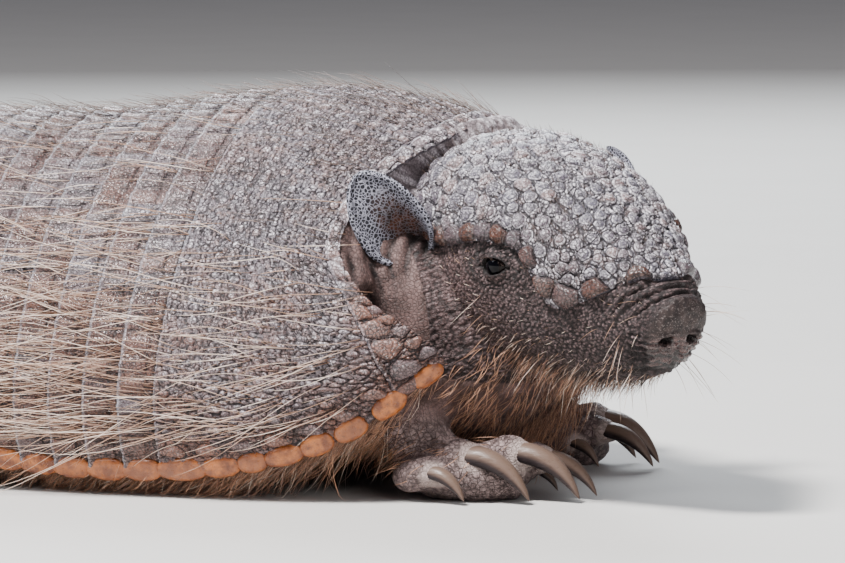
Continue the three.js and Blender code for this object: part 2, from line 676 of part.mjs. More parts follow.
function armadillo() {
  const animal = new THREE.Group();
  const plates = shellPlates();
  for (const [name, geometry] of Object.entries(plates)) animal.add(named(name, geometry, SHELL_HORN));

  const shieldSeat =
    headShield(SHIELD_SEAT_GAP, SHIELD_PROUD + SHIELD_SEAT_OPEN, SHIELD_SUNK + SHIELD_SEAT_GAP);
  const shieldPiece = headShield(0, SHIELD_PROUD, SHIELD_SUNK);
  const head = headGroup(shieldPiece, [shieldSeat]);
  animal.add(head);

  const trunk = trunkBody(0);
  const roomForTrunk = trunkBody(GAP);
  const roomForHead = [placed(headBody(GAP), head.matrix), placed(shieldSeat, head.matrix)];
  const neck = cut(solid(neckBody(0)), [roomForTrunk, ...roomForHead]);
  animal.add(named('trunk', trunk, COAT), named('neck', neck, COAT));

  const body = [roomForTrunk, neckBody(GAP)];
  animal.add(
    legGroup('fore', -1, FORE_RIGHT, FORE_LEG, FORE_PALM, FORE_TOES, body),
    legGroup('fore', 1, FORE_LEFT, FORE_LEG, FORE_PALM, FORE_TOES, body),
    legGroup('hind', -1, HIND_RIGHT, HIND_LEG, HIND_SOLE, HIND_TOES, body),
    legGroup('hind', 1, HIND_LEFT, HIND_LEG, HIND_SOLE, HIND_TOES, body),
    ...tailPieces([roomForTrunk]),
  );
  animal.position.x = -BODY_MIDDLE_X;
  return animal;
}

export default armadillo();
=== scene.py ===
"""A large hairy armadillo at life size, as a still model.

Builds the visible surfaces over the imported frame: one skin, the shell's plates with their
scutes, eyes, claws and the coat, then a floor, lights and a camera. Metres in the frame;
the shape code works in millimetres in the body's own axes (+X forward, +Y left, +Z up).
"""

import math

import bpy
import numpy as np
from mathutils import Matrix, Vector


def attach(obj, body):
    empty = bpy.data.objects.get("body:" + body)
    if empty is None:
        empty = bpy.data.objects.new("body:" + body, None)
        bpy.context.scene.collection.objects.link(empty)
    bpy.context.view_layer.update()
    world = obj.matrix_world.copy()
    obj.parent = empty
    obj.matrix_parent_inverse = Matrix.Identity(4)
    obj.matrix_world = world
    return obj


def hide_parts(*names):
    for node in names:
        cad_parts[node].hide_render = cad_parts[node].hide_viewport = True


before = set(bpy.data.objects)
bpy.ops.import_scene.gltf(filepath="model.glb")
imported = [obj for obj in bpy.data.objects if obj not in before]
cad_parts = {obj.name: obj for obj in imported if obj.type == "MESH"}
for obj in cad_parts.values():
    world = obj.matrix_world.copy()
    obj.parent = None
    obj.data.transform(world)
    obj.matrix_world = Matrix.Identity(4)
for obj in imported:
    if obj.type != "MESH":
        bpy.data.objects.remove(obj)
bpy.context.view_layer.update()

bl_info = {
    "name": "Hairy armadillo",
    "version": (1, 0, 0),
    "blender": (4, 5, 0),
    "location": "3D View > Sidebar > Armadillo",
    "description": "Builds a life-size hairy armadillo over its packed frame",
    "category": "Add Mesh",
}

MM = 0.001
BODY_MIDDLE_X = 120.0
SIDES = (("right", -1.0), ("left", 1.0))


# ---------------- the body's dimensions, mm

GAP = 0.3  # between neighbouring plates
# The shell's stations along its ridge: half width, rise over its widest line, height of that
# line and of the hem, and how far the section leans back, in degrees.
SHELL_X = [42, 55, 75, 95, 113, 150, 197, 217, 240, 255, 268, 282]
SHELL_WIDTH = [38, 49, 64, 74, 79, 82, 82, 81, 77, 72, 66, 58]
SHELL_RISE = [36, 46, 57, 66, 70, 73, 80, 81, 75, 65, 53, 43]
SHELL_LINE = [38, 38, 36, 32, 29, 27, 27, 27, 30, 36, 43, 51]
SHELL_HEM = [35, 31, 27, 20, 14, 7, 6, 8, 14, 22, 33, 45]
SHELL_LEAN = [85, 62, 36, 14, 4, 0, -3, -4, -5, -5, -5, -5]
SHELL_ARCH = 1.75  # power of the section: 2 is an ellipse, less is more pointed
SHELL_WRAP = 112.0  # degrees from the ridge round to the hem
SHELL_BEND = 8.0  # height over which a section starts to lean
PLATE_THICKNESS = 2.4  # kept clear of skin under the shell's face
PLATE_DEPTH = 1.7  # how far a plate's edge reaches in under the shell's surface
COAT_UNDER_SHELL = 0.8
STEP_HEIGHT = 1.0  # how far a plate's rear edge stands over the next
BAND_COUNT = 8
BAND_PITCH = 10.5
BAND_SCUTES = 50
BAND_POINTS_PER_SCUTE = 10
BAND_ROWS = 22
SCAPULAR_REAR_X = 197.0
PELVIC_FRONT_X = SCAPULAR_REAR_X - BAND_COUNT * BAND_PITCH
PELVIC_REAR_X = 42.0
MARGIN_AT = 0.985  # how far down the shell's face the hem's scutes lie
MARGIN_LIFT = -0.2
MARGIN_FRONT_X = 273.0
# The plates' front edges: stations against place across, from the ridge to the hem.
EDGE_AT = [0, 0.2, 0.4, 0.5, 0.6, 0.7, 0.8, 0.9, 1]
SHIELD_FRONT_X = [253, 247.5, 237, 237, 246, 254, 258.5, 261, 262]
NECK_BAND_FRONT_X = [260.5, 253.5, 241.5, 241, 251, 263.5, 270.5, 273, 274]

BELLY_X = [42, 55, 75, 95, 113, 150, 217, 240]
BELLY_Z = [27, 23, 19, 15, 10.5, 6, 6.5, 12]
BELLY_FLATNESS = 0.55
TRUNK_FRONT_X = 236.0
RUMP_END = (27.0, 0.0, 33.0)

HEAD_PLACE = (271.0, -12.0, 72.0)
HEAD_TURNS = (2.0, 11.7, -36.0)  # roll, pitch, yaw in degrees
# The head's stations in its own axes: half width, top and bottom.
HEAD_X = [-14, 0, 14, 28, 40, 52, 63, 74, 83, 88.5, 91.5]
HEAD_WIDTH = [25, 29, 30.5, 30.5, 29, 25, 20.2, 15.2, 11.6, 9.2, 7.6]
HEAD_TOP = [16, 26, 28, 27.5, 25.5, 22, 17.8, 13, 9.2, 6.4, 4.4]
HEAD_BOTTOM = [-24, -27, -28, -28.5, -29, -28.5, -26, -22.8, -19.6, -17.4, -15.6]
HEAD_ROUNDNESS = 0.9
MUZZLE_RAKE = 0.28
MUZZLE_RAKE_FROM_X = 70.0
# The head shield's edge: degrees round from the crown.
BROW_X = [-13, -6, 4, 21, 38, 48, 54, 59, 64.5, 70, 75, 79, 83]
BROW_REACH = [76, 85, 89, 86, 73, 71, 80, 91, 93, 85, 70, 46, 12]
SHIELD_LIFT = 0.9  # the head shield's face over the head's
BROW_SCUTES_X = [-10.5, 8, 20, 45, 60, 75, 88]
BROW_SCUTES_LENGTH = [4.8, 5.4, 6.0, 5.2, 7.4, 7.2, 4.2]
EYE_PLACE = (40.5, 25.2, 2.2)
EYE_RADIUS = 4.4

# Each ear's root, tip and the way its cup opens, y outwards.
EARS = {-1.0: ((4.2, 31.6, 0.2), (0.9, 48.8, 18.5), (0.85, 0.5, -0.05)),
        1.0: ((-2.0, 30.0, -1.5), (-12.0, 40.0, 16.0), (0.5, 0.8, 0.0))}
EAR_BOW = 4.5
EAR_WIDTH = 9.6
# Half the angle that the ear's leaf curls round, in degrees, from its root to its tip.
EAR_CURL_AT = [0, 0.2, 0.5, 1]
EAR_CURL = [150, 112, 66, 40]
EAR_ROOT_SHARE = 0.35  # the leaf's width at its root against its widest
EAR_FLARE = 1.6
EAR_SUNK = 0.2  # share of its length that is sunk in the head

# The neck's stations: middle, half width, bottom and top.
NECK_X = [228, 250, 264, 277, 289, 297]
NECK_Y = [0, -2, -5, -10, -16, -20]
NECK_WIDTH = [58, 55, 50, 41, 29, 15]
NECK_BOTTOM = [16, 11, 9, 13, 23, 32]
NECK_TOP = [90, 88, 79, 68, 57, 50]
NECK_ROUNDNESS = 0.85
NAPE_THICKNESS = 7.0
NAPE_REACH = (-0.6, 0.66)  # across the shell, from its right hem at -1 to its left at 1
NAPE_SHOWN = (-0.42, 0.36)  # the stretch of it that has the nape's colour
NAPE_BULGE = 4.0

# Limbs: rows of (x, y outwards, z, half width, half height) from the ankle's place.
LEG_PLACES = {("fore", -1.0): (266, -46), ("fore", 1.0): (255, 47),
              ("hind", -1.0): (60, -50), ("hind", 1.0): (72, 52)}
LEGS = {"fore": [(-21, -3, 40, 13, 14), (-10, 0, 24, 12, 12), (-3, 0.5, 13, 9.5, 9.5)],
        "hind": [(15, -14, 30, 11, 12), (4, -5, 20, 10, 9.5), (-5, 0, 13, 9, 9.5)]}
SOLES = {"fore": [(-6, 0, 10, 8.5, 8.5), (3, 0.5, 8, 11.5, 9), (12, -2, 6.5, 12.5, 8),
                  (19, -5, 5, 9.5, 6)],
         "hind": [(-10, 0, 8, 8, 8.5), (2, 0, 7, 10, 8.5), (18, 1, 6, 12.5, 7.5),
                  (30, 1, 5, 11.5, 6)]}
# Toes: (x, y, z of the claw's root), claw length, claw width, heading outwards in degrees.
TOES = {"fore": [((2, 12.5, 8), 14, 4.8, 14), ((10.5, 6, 12), 22, 6.9, 4),
                 ((21.5, -2.5, 12.5), 22, 7.1, 1), ((26.5, -10.5, 10.5), 18, 5.6, -2),
                 ((19, -16.5, 7.5), 11, 3.8, -6)],
        "hind": [((25, 12.5, 5.5), 9, 3.6, 16), ((35, 7.5, 6.5), 12, 4.4, 8),
                 ((39, 1, 7), 13.5, 4.8, 2), ((36.5, -5.5, 6.5), 12, 4.4, -4),
                 ((28, -10.5, 5.5), 9, 3.6, -10)]}
FOOT_SPAN_X = (-10, 30)  # a foot's line, behind and ahead of its ankle
FOOT_REACH = 17
SOLE_HEIGHT = 0.12  # the skin's lowest points, just clear of the floor
CLAW_TIP_HEIGHT = 1.2
CLAW_ARCH = 0.14
CLAW_SIDES = 32
TOE_REACH = 8.0

# The tail from the rump back along the floor: (x, y, z, radius).
TAIL = [(33, 0, 34, 14.5), (16, 0, 30, 13.8), (-2, 1, 22.5, 12.6), (-18, 3, 14.5, 11.2),
        (-32, 5.5, 9.7, 10), (-48, 9, 8.2, 8.6), (-63, 12.5, 6.9, 7.3), (-77, 15, 5.6, 5.9),
        (-90, 16.5, 4.3, 4.5), (-102, 17.5, 3.1, 3.2), (-109, 18, 2.2, 2.1)]


# ---------------- numbers and curves


def smooth_curve(xs, ys):
    """A curve through points: cubic pieces with the slopes of their neighbours."""
    xs = np.asarray(xs, float)
    ys = np.asarray(ys, float)
    slopes = np.gradient(ys, xs)

    def at(x):
        x = np.asarray(x, float)
        i = np.clip(np.searchsorted(xs, x) - 1, 0, len(xs) - 2)
        step = xs[i + 1] - xs[i]
        t = np.clip((x - xs[i]) / step, 0, 1)
        start = (2 * t**3 - 3 * t**2 + 1) * ys[i] + (t**3 - 2 * t**2 + t) * step * slopes[i]
        end = (3 * t**2 - 2 * t**3) * ys[i + 1] + (t**3 - t**2) * step * slopes[i + 1]
        return start + end

    return at


def ease(low, high, value):
    """0 below low, 1 above high, smooth between."""
    t = np.clip((np.asarray(value, float) - low) / (high - low), 0, 1)
    return t * t * (3 - 2 * t)


def bell(value, width):
    """1 at zero, falling off to both sides over about width."""
    return np.exp(-((np.asarray(value, float) / width) ** 2))


def signed_power(value, power):
    """The power of a value's size, with the value's own sign."""
    return np.sign(value) * np.abs(value) ** power


def unit(vectors):
    """Vectors of length one with the same directions."""
    length = np.linalg.norm(vectors, axis=-1, keepdims=True)
    return vectors / np.maximum(length, 1e-12)


def lengths(vectors):
    """Lengths of the vectors along the last axis."""
    return np.linalg.norm(vectors, axis=-1)


def path_reach(path):
    """Length along a path at each of its points."""
    return np.r_[0, np.cumsum(lengths(np.diff(path[:, :3], axis=0)))]


def side_scale(side):
    """Scale for places given with y outwards: -1 for the right side, 1 for the left."""
    return np.array([1.0, side, 1.0])


def to_frame(points):
    """Body millimetres to the frame's metres."""
    out = np.array(points, dtype=float)
    out[..., 0] -= BODY_MIDDLE_X
    return out * MM


def grain(points, scale, seed=0):
    """Smooth random values from -1 to 1 that change over about `scale` millimetres."""
    p = np.asarray(points, float) / scale + 1000.0
    cell = np.floor(p).astype(np.int64)
    f = p - cell
    f = f * f * (3 - 2 * f)
    total = np.zeros(p.shape[:-1])
    for corner in range(8):
        offset = np.array([corner & 1, corner >> 1 & 1, corner >> 2 & 1])
        c = (cell + offset).astype(np.uint64)
        h = c[..., 0] * np.uint64(73856093) ^ c[..., 1] * np.uint64(19349663)
        h = h ^ c[..., 2] * np.uint64(83492791) ^ np.uint64(seed * 2654435761 + 97)
        h = (h ^ h >> np.uint64(13)) * np.uint64(1274126177) & np.uint64(0xFFFFFFFF)
        h = (h ^ h >> np.uint64(16)) & np.uint64(0xFFFF)
        share = np.prod(np.where(offset, f, 1 - f), axis=-1)
        total += share * (h.astype(float) / 32767.5 - 1)
    return total


SHELL_WIDTH_AT = smooth_curve(SHELL_X, SHELL_WIDTH)
SHELL_RISE_AT = smooth_curve(SHELL_X, SHELL_RISE)
SHELL_LINE_AT = smooth_curve(SHELL_X, SHELL_LINE)
SHELL_HEM_AT = smooth_curve(SHELL_X, SHELL_HEM)
SHELL_LEAN_AT = smooth_curve(SHELL_X, SHELL_LEAN)
BELLY_AT = smooth_curve(BELLY_X, BELLY_Z)
HEAD_WIDTH_AT = smooth_curve(HEAD_X, HEAD_WIDTH)
HEAD_TOP_AT = smooth_curve(HEAD_X, HEAD_TOP)
HEAD_BOTTOM_AT = smooth_curve(HEAD_X, HEAD_BOTTOM)
BROW_AT = smooth_curve(BROW_X, BROW_REACH)


def shell_point(x, v, lift=0.0):
    """Shell face at station x, v from the right hem (-1) over the ridge (0) to the left (1)."""
    x, v, lift = np.broadcast_arrays(*(np.asarray(a, float) for a in (x, v, lift)))
    turn = np.radians(SHELL_WRAP) * v
    width = SHELL_WIDTH_AT(x) + lift
    line = SHELL_LINE_AT(x)
    lean = np.radians(SHELL_LEAN_AT(x))
    sine, cosine = np.sin(turn), np.cos(turn)
    below = cosine < 0
    y = width * signed_power(sine, np.where(below, 1.0, 2 / SHELL_ARCH))
    drop = (line - SHELL_HEM_AT(x)) * cosine / abs(math.cos(math.radians(SHELL_WRAP)))
    height = (SHELL_RISE_AT(x) + lift) * np.maximum(cosine, 0) ** (2 / SHELL_ARCH)
    bend = height / (height + SHELL_BEND)
    out_x = np.where(below, x, x - np.sin(lean) * height * bend)
    out_z = np.where(below, line + drop, line + height * (1 - (1 - np.cos(lean)) * bend))
    return np.stack([out_x, y, out_z], -1)


def head_point(x, turn, lift=0.0):
    """Head surface in the head's axes: station x, degrees round from the crown."""
    x, turn, lift = np.broadcast_arrays(*(np.asarray(a, float) for a in (x, turn, lift)))
    top = HEAD_TOP_AT(x) + lift
    bottom = HEAD_BOTTOM_AT(x) - lift
    middle = (top + bottom) / 4
    side, up = np.sin(np.radians(turn)), np.cos(np.radians(turn))
    z = middle + np.where(up > 0, top - middle, middle - bottom) * signed_power(up, HEAD_ROUNDNESS)
    muzzle = ease(MUZZLE_RAKE_FROM_X, HEAD_X[-1], x)
    y = (HEAD_WIDTH_AT(x) + lift) * signed_power(side, HEAD_ROUNDNESS)
    return np.stack([x + MUZZLE_RAKE * muzzle * (z - middle), y, z], -1)


def turn_matrix(roll, pitch, yaw):
    """Rotation by roll, then pitch, then yaw, in degrees."""
    a, b, c = (math.radians(d) for d in (roll, pitch, yaw))
    rx = np.array([[1, 0, 0], [0, math.cos(a), -math.sin(a)], [0, math.sin(a), math.cos(a)]])
    ry = np.array([[math.cos(b), 0, math.sin(b)], [0, 1, 0], [-math.sin(b), 0, math.cos(b)]])
    rz = np.array([[math.cos(c), -math.sin(c), 0], [math.sin(c), math.cos(c), 0], [0, 0, 1]])
    return rz @ ry @ rx


HEAD_MATRIX = turn_matrix(*HEAD_TURNS)


def head_to_body(points):
    """Places in the head's axes to the body's."""
    return np.asarray(points, float) @ HEAD_MATRIX.T + np.array(HEAD_PLACE)


def body_to_head(points):
    """Places in the body's axes to the head's."""
    return (np.asarray(points, float) - np.array(HEAD_PLACE)) @ HEAD_MATRIX


def head_middle(x):
    """Height of the head's centre line at its stations x."""
    return (HEAD_TOP_AT(x) + HEAD_BOTTOM_AT(x)) / 4


def head_turn(points):
    """Degrees round from the crown, for points in the head's axes."""
    return np.degrees(np.arctan2(np.abs(points[:, 1]), points[:, 2] - head_middle(points[:, 0])))


def eye_distance(points):
    """Distance to the nearer eye, for points in the head's axes."""
    return np.minimum(*(lengths(points * side_scale(side) - EYE_PLACE) for _, side in SIDES))


# ---------------- meshes as arrays

RELAX_SHARES = (0.6, -0.55)  # smoothing forward and back, so that a body keeps its size

def grid_faces(rows, columns, closed=False, start=0):
    """Quads of a grid of points in row order; closed joins the last column to the first."""
    r, c = np.meshgrid(np.arange(rows - 1), np.arange(columns if closed else columns - 1),
                       indexing="ij")
    nxt = (c + 1) % columns
    quads = np.stack([r * columns + c, r * columns + nxt, (r + 1) * columns + nxt,
                      (r + 1) * columns + c], -1).reshape(-1, 4)
    return quads + start


def triangles_of(quads):
    """Two triangles for each quad."""
    return np.concatenate([quads[:, [0, 1, 2]], quads[:, [0, 2, 3]]])


def closed_loft(rings):
    """Triangles over closed rings of points, with a fan over each end."""
    rows, columns = rings.shape[:2]
    points = np.concatenate([rings.reshape(-1, 3), rings[0].mean(0)[None], rings[-1].mean(0)[None]])
    body = triangles_of(grid_faces(rows, columns, closed=True))
    c = np.arange(columns)
    nxt = (c + 1) % columns
    first = np.stack([nxt, c, np.full(columns, len(points) - 2)], -1)
    last = np.stack([c, nxt, np.full(columns, len(points) - 1)], -1)
    last[:, :2] += (rows - 1) * columns
    return points, np.concatenate([body, first, last])


def limb(stations, sides=28, steps=6, inset=0.0):
    """A limb of oval sections along a smooth path, rounded at both ends."""
    rows = np.array([(*s, s[-1]) if len(s) == 4 else s for s in stations], float)
    reach = path_reach(rows)
    at = np.linspace(0, reach[-1], steps * (len(rows) - 1) + 1)
    path = np.stack([smooth_curve(reach, rows[:, k])(at) for k in range(5)], -1)
    path[:, 3:] -= inset
    along = unit(np.gradient(path[:, :3], axis=0))
    cap = np.radians([75, 55, 35, 15])
    ends = []
    for end, sign in ((0, -1.0), (-1, 1.0)):
        radius = path[end, 3:].min() * 0.8
        rows_here = [np.r_[path[end, :3] + sign * along[end] * radius * math.sin(a),
                           path[end, 3:] * math.cos(a)] for a in cap]
        ends.append(rows_here if sign < 0 else rows_here[::-1])
    path = np.concatenate([ends[0], path, ends[1]])
    along = np.concatenate([[along[0]] * 4, along, [along[-1]] * 4])
    across = unit(np.cross([0.0, 0.0, 1.0], along))
    upward = np.cross(along, across)
    turn = np.linspace(0, 2 * np.pi, sides, endpoint=False)
    rings = (path[:, None, :3] + across[:, None] * (path[:, 3, None] * np.cos(turn))[..., None]
             + upward[:, None] * (path[:, 4, None] * np.sin(turn))[..., None])
    return closed_loft(rings)


def joined(parts):
    """Several (points, triangles) as one."""
    points, triangles, count = [], [], 0
    for p, t in parts:
        points.append(p)
        triangles.append(t + count)
        count += len(p)
    return np.concatenate(points), np.concatenate(triangles)


def normals_of(points, triangles):
    """Outward directions at the points, averaged over their triangles."""
    a, b, c = (points[triangles[:, k]] for k in range(3))
    face = np.cross(b - a, c - a)
    total = np.zeros_like(points)
    for axis in range(3):
        for k in range(3):
            total[:, axis] += np.bincount(triangles[:, k], face[:, axis], len(points))
    return unit(total)


def outward(points, triangles):
    """The triangles of a closed body, turned where they face inwards."""
    a, b, c = (points[triangles[:, k]] - points[0] for k in range(3))
    return triangles if (a * np.cross(b, c)).sum() > 0 else triangles[:, ::-1]


def relax(points, triangles, weight, rounds):
    """Smooths by moving each point to and fro its neighbours' mean, without shrinking much."""
    edges = np.unique(np.sort(triangles[:, [0, 1, 1, 2, 2, 0]].reshape(-1, 2), 1), axis=0)
    count = np.bincount(edges.ravel(), minlength=len(points))[:, None]
    for i in range(rounds):
        total = np.stack([np.bincount(edges[:, 0], points[edges[:, 1], k], len(points))
                          + np.bincount(edges[:, 1], points[edges[:, 0], k], len(points))
                          for k in range(3)], 1)
        share = RELAX_SHARES[i % 2]
        points = points + share * weight[:, None] * (total / count - points)
    return points


def refine(points, triangles, chosen):
    """Splits each triangle with a chosen point in four, and its neighbours to match."""
    edges = np.sort(triangles[:, [0, 1, 1, 2, 2, 0]].reshape(-1, 3, 2), 2)
    key = edges[..., 0] * len(points) + edges[..., 1]
    unique, inverse = np.unique(key, return_inverse=True)
    inverse = inverse.reshape(-1, 3)
    marked = np.zeros(len(unique), bool)
    marked[inverse[chosen[triangles].any(1)].ravel()] = True
    index = np.full(len(unique), -1)
    index[marked] = len(points) + np.arange(marked.sum())
    pairs = np.stack([unique // len(points), unique % len(points)], 1)[marked]
    points = np.concatenate([points, points[pairs].mean(1)])
    middle = index[inverse]
    split = middle >= 0
    number = split.sum(1)
    out = [triangles[number == 0]]
    t, m = triangles[number == 3], middle[number == 3]
    for corners in ((t[:, 0], m[:, 0], m[:, 2]), (m[:, 0], t[:, 1], m[:, 1]),
                    (m[:, 2], m[:, 1], t[:, 2]), (m[:, 0], m[:, 1], m[:, 2])):
        out.append(np.stack(corners, 1))
    for k in range(3):
        order = [k, (k + 1) % 3, (k + 2) % 3]
        pick = (number == 1) & split[:, k]
        (a, b, c), m = triangles[pick][:, order].T, middle[pick, k]
        out += [np.stack([a, m, c], 1), np.stack([m, b, c], 1)]
        pick = (number == 2) & ~split[:, (k + 2) % 3]
        (a, b, c), m = triangles[pick][:, order].T, middle[pick][:, order]
        out += [np.stack([a, m[:, 0], m[:, 1]], 1), np.stack([m[:, 0], b, m[:, 1]], 1),
                np.stack([a, m[:, 1], c], 1)]
    return points, np.concatenate(out)


def make_piece(name, points, faces, attributes=None, material=None, uv=None):
    """A mesh object from body millimetres; faces is an array of triangles or of quads."""
    mesh = bpy.data.meshes.new(name)
    sides = faces.shape[1]
    mesh.vertices.add(len(points))
    mesh.vertices.foreach_set("co", to_frame(points).astype(np.float32).ravel())
    mesh.loops.add(faces.size)
    mesh.loops.foreach_set("vertex_index", faces.astype(np.int32).ravel())
    mesh.polygons.add(len(faces))
    mesh.polygons.foreach_set("loop_start", np.arange(0, faces.size, sides, dtype=np.int32))
    mesh.polygons.foreach_set("use_smooth", np.ones(len(faces), bool))
    mesh.update(calc_edges=True)
    for key, values in (attributes or {}).items():
        layer = mesh.attributes.new(key, "FLOAT", "POINT")
        layer.data.foreach_set("value", np.asarray(values, np.float32).ravel())
    if uv is not None:
        layer = mesh.uv_layers.new(name="OFBake")
        layer.data.foreach_set("uv", uv[faces.ravel()].astype(np.float32).ravel())
    mesh.validate()
    piece = bpy.data.objects.new(name, mesh)
    bpy.context.scene.collection.objects.link(piece)
    if material:
        mesh.materials.append(material)
    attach(piece, "root")
    return piece


def remeshed(points, triangles, voxel):
    """The outer surface of overlapping closed bodies, as even triangles, millimetres."""
    mesh = bpy.data.meshes.new("raw")
    mesh.from_pydata((points * MM).tolist(), [], triangles.tolist())
    raw = bpy.data.objects.new("raw", mesh)
    bpy.context.scene.collection.objects.link(raw)
    modifier = raw.modifiers.new("union", "REMESH")
    modifier.mode = "VOXEL"
    modifier.voxel_size = voxel * MM
    graph = bpy.context.evaluated_depsgraph_get()
    result = bpy.data.meshes.new_from_object(raw.evaluated_get(graph))
    out = np.zeros(len(result.vertices) * 3, np.float32)
    result.vertices.foreach_get("co", out)
    result.calc_loop_triangles()
    tri = np.zeros(len(result.loop_triangles) * 3, np.int32)
    result.loop_triangles.foreach_get("vertices", tri)
    bpy.data.objects.remove(raw)
    bpy.data.meshes.remove(mesh)
    bpy.data.meshes.remove(result)
    return out.reshape(-1, 3).astype(float) / MM, tri.reshape(-1, 3).astype(np.int64)


# ---------------- the skin's bodies


def trunk_part(settings):
    """The trunk: under the shell's plates above, the belly's curve below, a rounded rump."""
    lift = -PLATE_THICKNESS - COAT_UNDER_SHELL - 0.5
    depth = settings.coat_depth / MM
    stations = np.linspace(PELVIC_REAR_X + 1, TRUNK_FRONT_X, 64)
    over = shell_point(stations[:, None], np.linspace(1, -1, 70)[None], lift)
    hem = over[:, 0]
    turn = np.radians(np.linspace(0, 180, 42)[1:-1])
    flatness = BELLY_FLATNESS + 0.2
    drop = (hem[:, 2] - BELLY_AT(stations) - depth)[:, None] * np.sin(turn) ** flatness
    under = np.stack([np.broadcast_to(stations[:, None], drop.shape),
                      -hem[:, 1, None] * signed_power(np.cos(turn), flatness),
                      hem[:, 2, None] - drop], -1)
    rings = np.concatenate([over, under], 1)
    # Rings that shrink towards the rump's end close the rear.
    caps = []
    for share in (0.9, 0.7, 0.45, 0.2):
        cap = RUMP_END + (rings[0] - RUMP_END) * (1 - share) ** 0.8
        cap[:, 0] = rings[0, :, 0] + (RUMP_END[0] - rings[0, :, 0]) * share
        caps.append(cap)
    return closed_loft(np.concatenate([np.array(caps), rings]))


def neck_part(settings):
    """The neck: rounded rings from the trunk forward into the head."""
    x = np.linspace(NECK_X[0], NECK_X[-1], 40)[:, None]
    turn = np.linspace(0, 2 * np.pi, 96, endpoint=False)
    bottom = smooth_curve(NECK_X, NECK_BOTTOM)(x) + settings.coat_depth / MM
    top = smooth_curve(NECK_X, NECK_TOP)(x) - 1
    width = smooth_curve(NECK_X, NECK_WIDTH)(x) - 1.5
    y = smooth_curve(NECK_X, NECK_Y)(x) + width * signed_power(np.cos(turn), NECK_ROUNDNESS)
    z = (top + bottom) / 2 + (top - bottom) / 2 * signed_power(np.sin(turn), NECK_ROUNDNESS)
    return closed_loft(np.stack([np.broadcast_to(x, y.shape), y, z], -1))


def nape_sheet(inset, reach):
    """The nape between the neck band's rim and the rear of the head's shield."""
    v = np.linspace(*reach, 63)
    rim_x = edge_curve(NECK_BAND_FRONT_X)(v) - 3.0
    rear = shell_point(rim_x, v, -0.3 - inset)
    turn = v * 2 * 86.0
    x = np.interp(np.abs(turn), [0, 46, 72, 88], [-9.0, -9.0, -4, 0])
    front = head_to_body(head_point(x, turn, 0.5 - inset))
    out = unit(rear - shell_point(rim_x, v, -4.0 - inset))
    t = np.linspace(0, 1, 15)[:, None, None]
    return rear + (front - rear) * t + out * NAPE_BULGE * np.sin(np.pi * t) ** 0.6


def nape_part():
    """A thick sheet of skin that fills the nape between the plates."""
    upper, lower = nape_sheet(0.0, NAPE_REACH), nape_sheet(NAPE_THICKNESS, NAPE_REACH)
    return closed_loft(np.concatenate([upper, lower[:, ::-1]], 1))


def head_part():
    """The head as one loft, rounded off at the nose."""
    x = np.linspace(HEAD_X[0], HEAD_X[-1] - 0.6, 90)
    rings = head_point(x[:, None], -np.linspace(0, 360, 110, endpoint=False)[None], -0.3)
    centre = rings[-1].mean(0)
    caps = []
    for angle in np.radians([25, 45, 62, 78]):
        cap = centre + (rings[-1] - centre) * math.cos(angle) ** 0.7
        cap[:, 0] += 2.0 * math.sin(angle)
        caps.append(cap)
    points, triangles = closed_loft(np.concatenate([rings, np.array(caps)]))
    return head_to_body(points), triangles


def claw_matrix(toe, side):
    """Rotation and place of a claw in its foot's axes."""
    (x, y, z), length, _, heading = toe
    dip = math.degrees(math.asin((z - CLAW_TIP_HEIGHT) / length))
    return turn_matrix(0, dip, side * heading), np.array([x, side * y, z])


def sided(stations, side):
    """Stations with y outwards, for one side."""
    return [(s[0], side * s[1], *s[2:]) for s in stations]


def leg_parts(kind, side):
    """Leg, sole, toes and the cuffs round the claws' roots."""
    place = np.array([*LEG_PLACES[kind, side], 0.0])
    parts = [limb(sided(LEGS[kind], side), inset=1.6), limb(sided(SOLES[kind], side), inset=0.3)]
    for toe in TOES[kind]:
        (x, y, z), _, width, heading = toe
        c, s = math.cos(math.radians(heading)), math.sin(math.radians(heading))
        thick = width / 2 + 1.3
        back = (x - TOE_REACH * c, (y - TOE_REACH * s) * 0.8, z * 0.78, thick + 0.9)
        knuckle = (x - TOE_REACH * 0.45 * c, y - TOE_REACH * 0.4 * s, z * 0.93, thick + 0.75)
        tip = (x - 0.8, y, z - 0.25, thick - 0.3)
        parts.append(limb(sided([back, knuckle, tip], side), sides=20))
        rotation, root = claw_matrix(toe, side)
        points, triangles = limb([(-3, 0, 0, thick - 0.4), (0, 0, 0.3, thick - 0.3),
                                  (2.2, 0, 0.7, width / 2 + 0.55)], sides=20, steps=4)
        parts.append((points @ rotation.T + root, triangles))
    return [(points + place, triangles) for points, triangles in parts]


def ear_frame(side):
    """Root, axis, length, opening direction and width direction of an ear."""
    root, tip, opens = (np.array(v) * side_scale(side) for v in EARS[side])
    length = np.linalg.norm(tip - root)
    axis = (tip - root) / length
    opens = unit(opens - axis * opens.dot(axis))
    return root, axis, length, opens, np.cross(axis, opens)


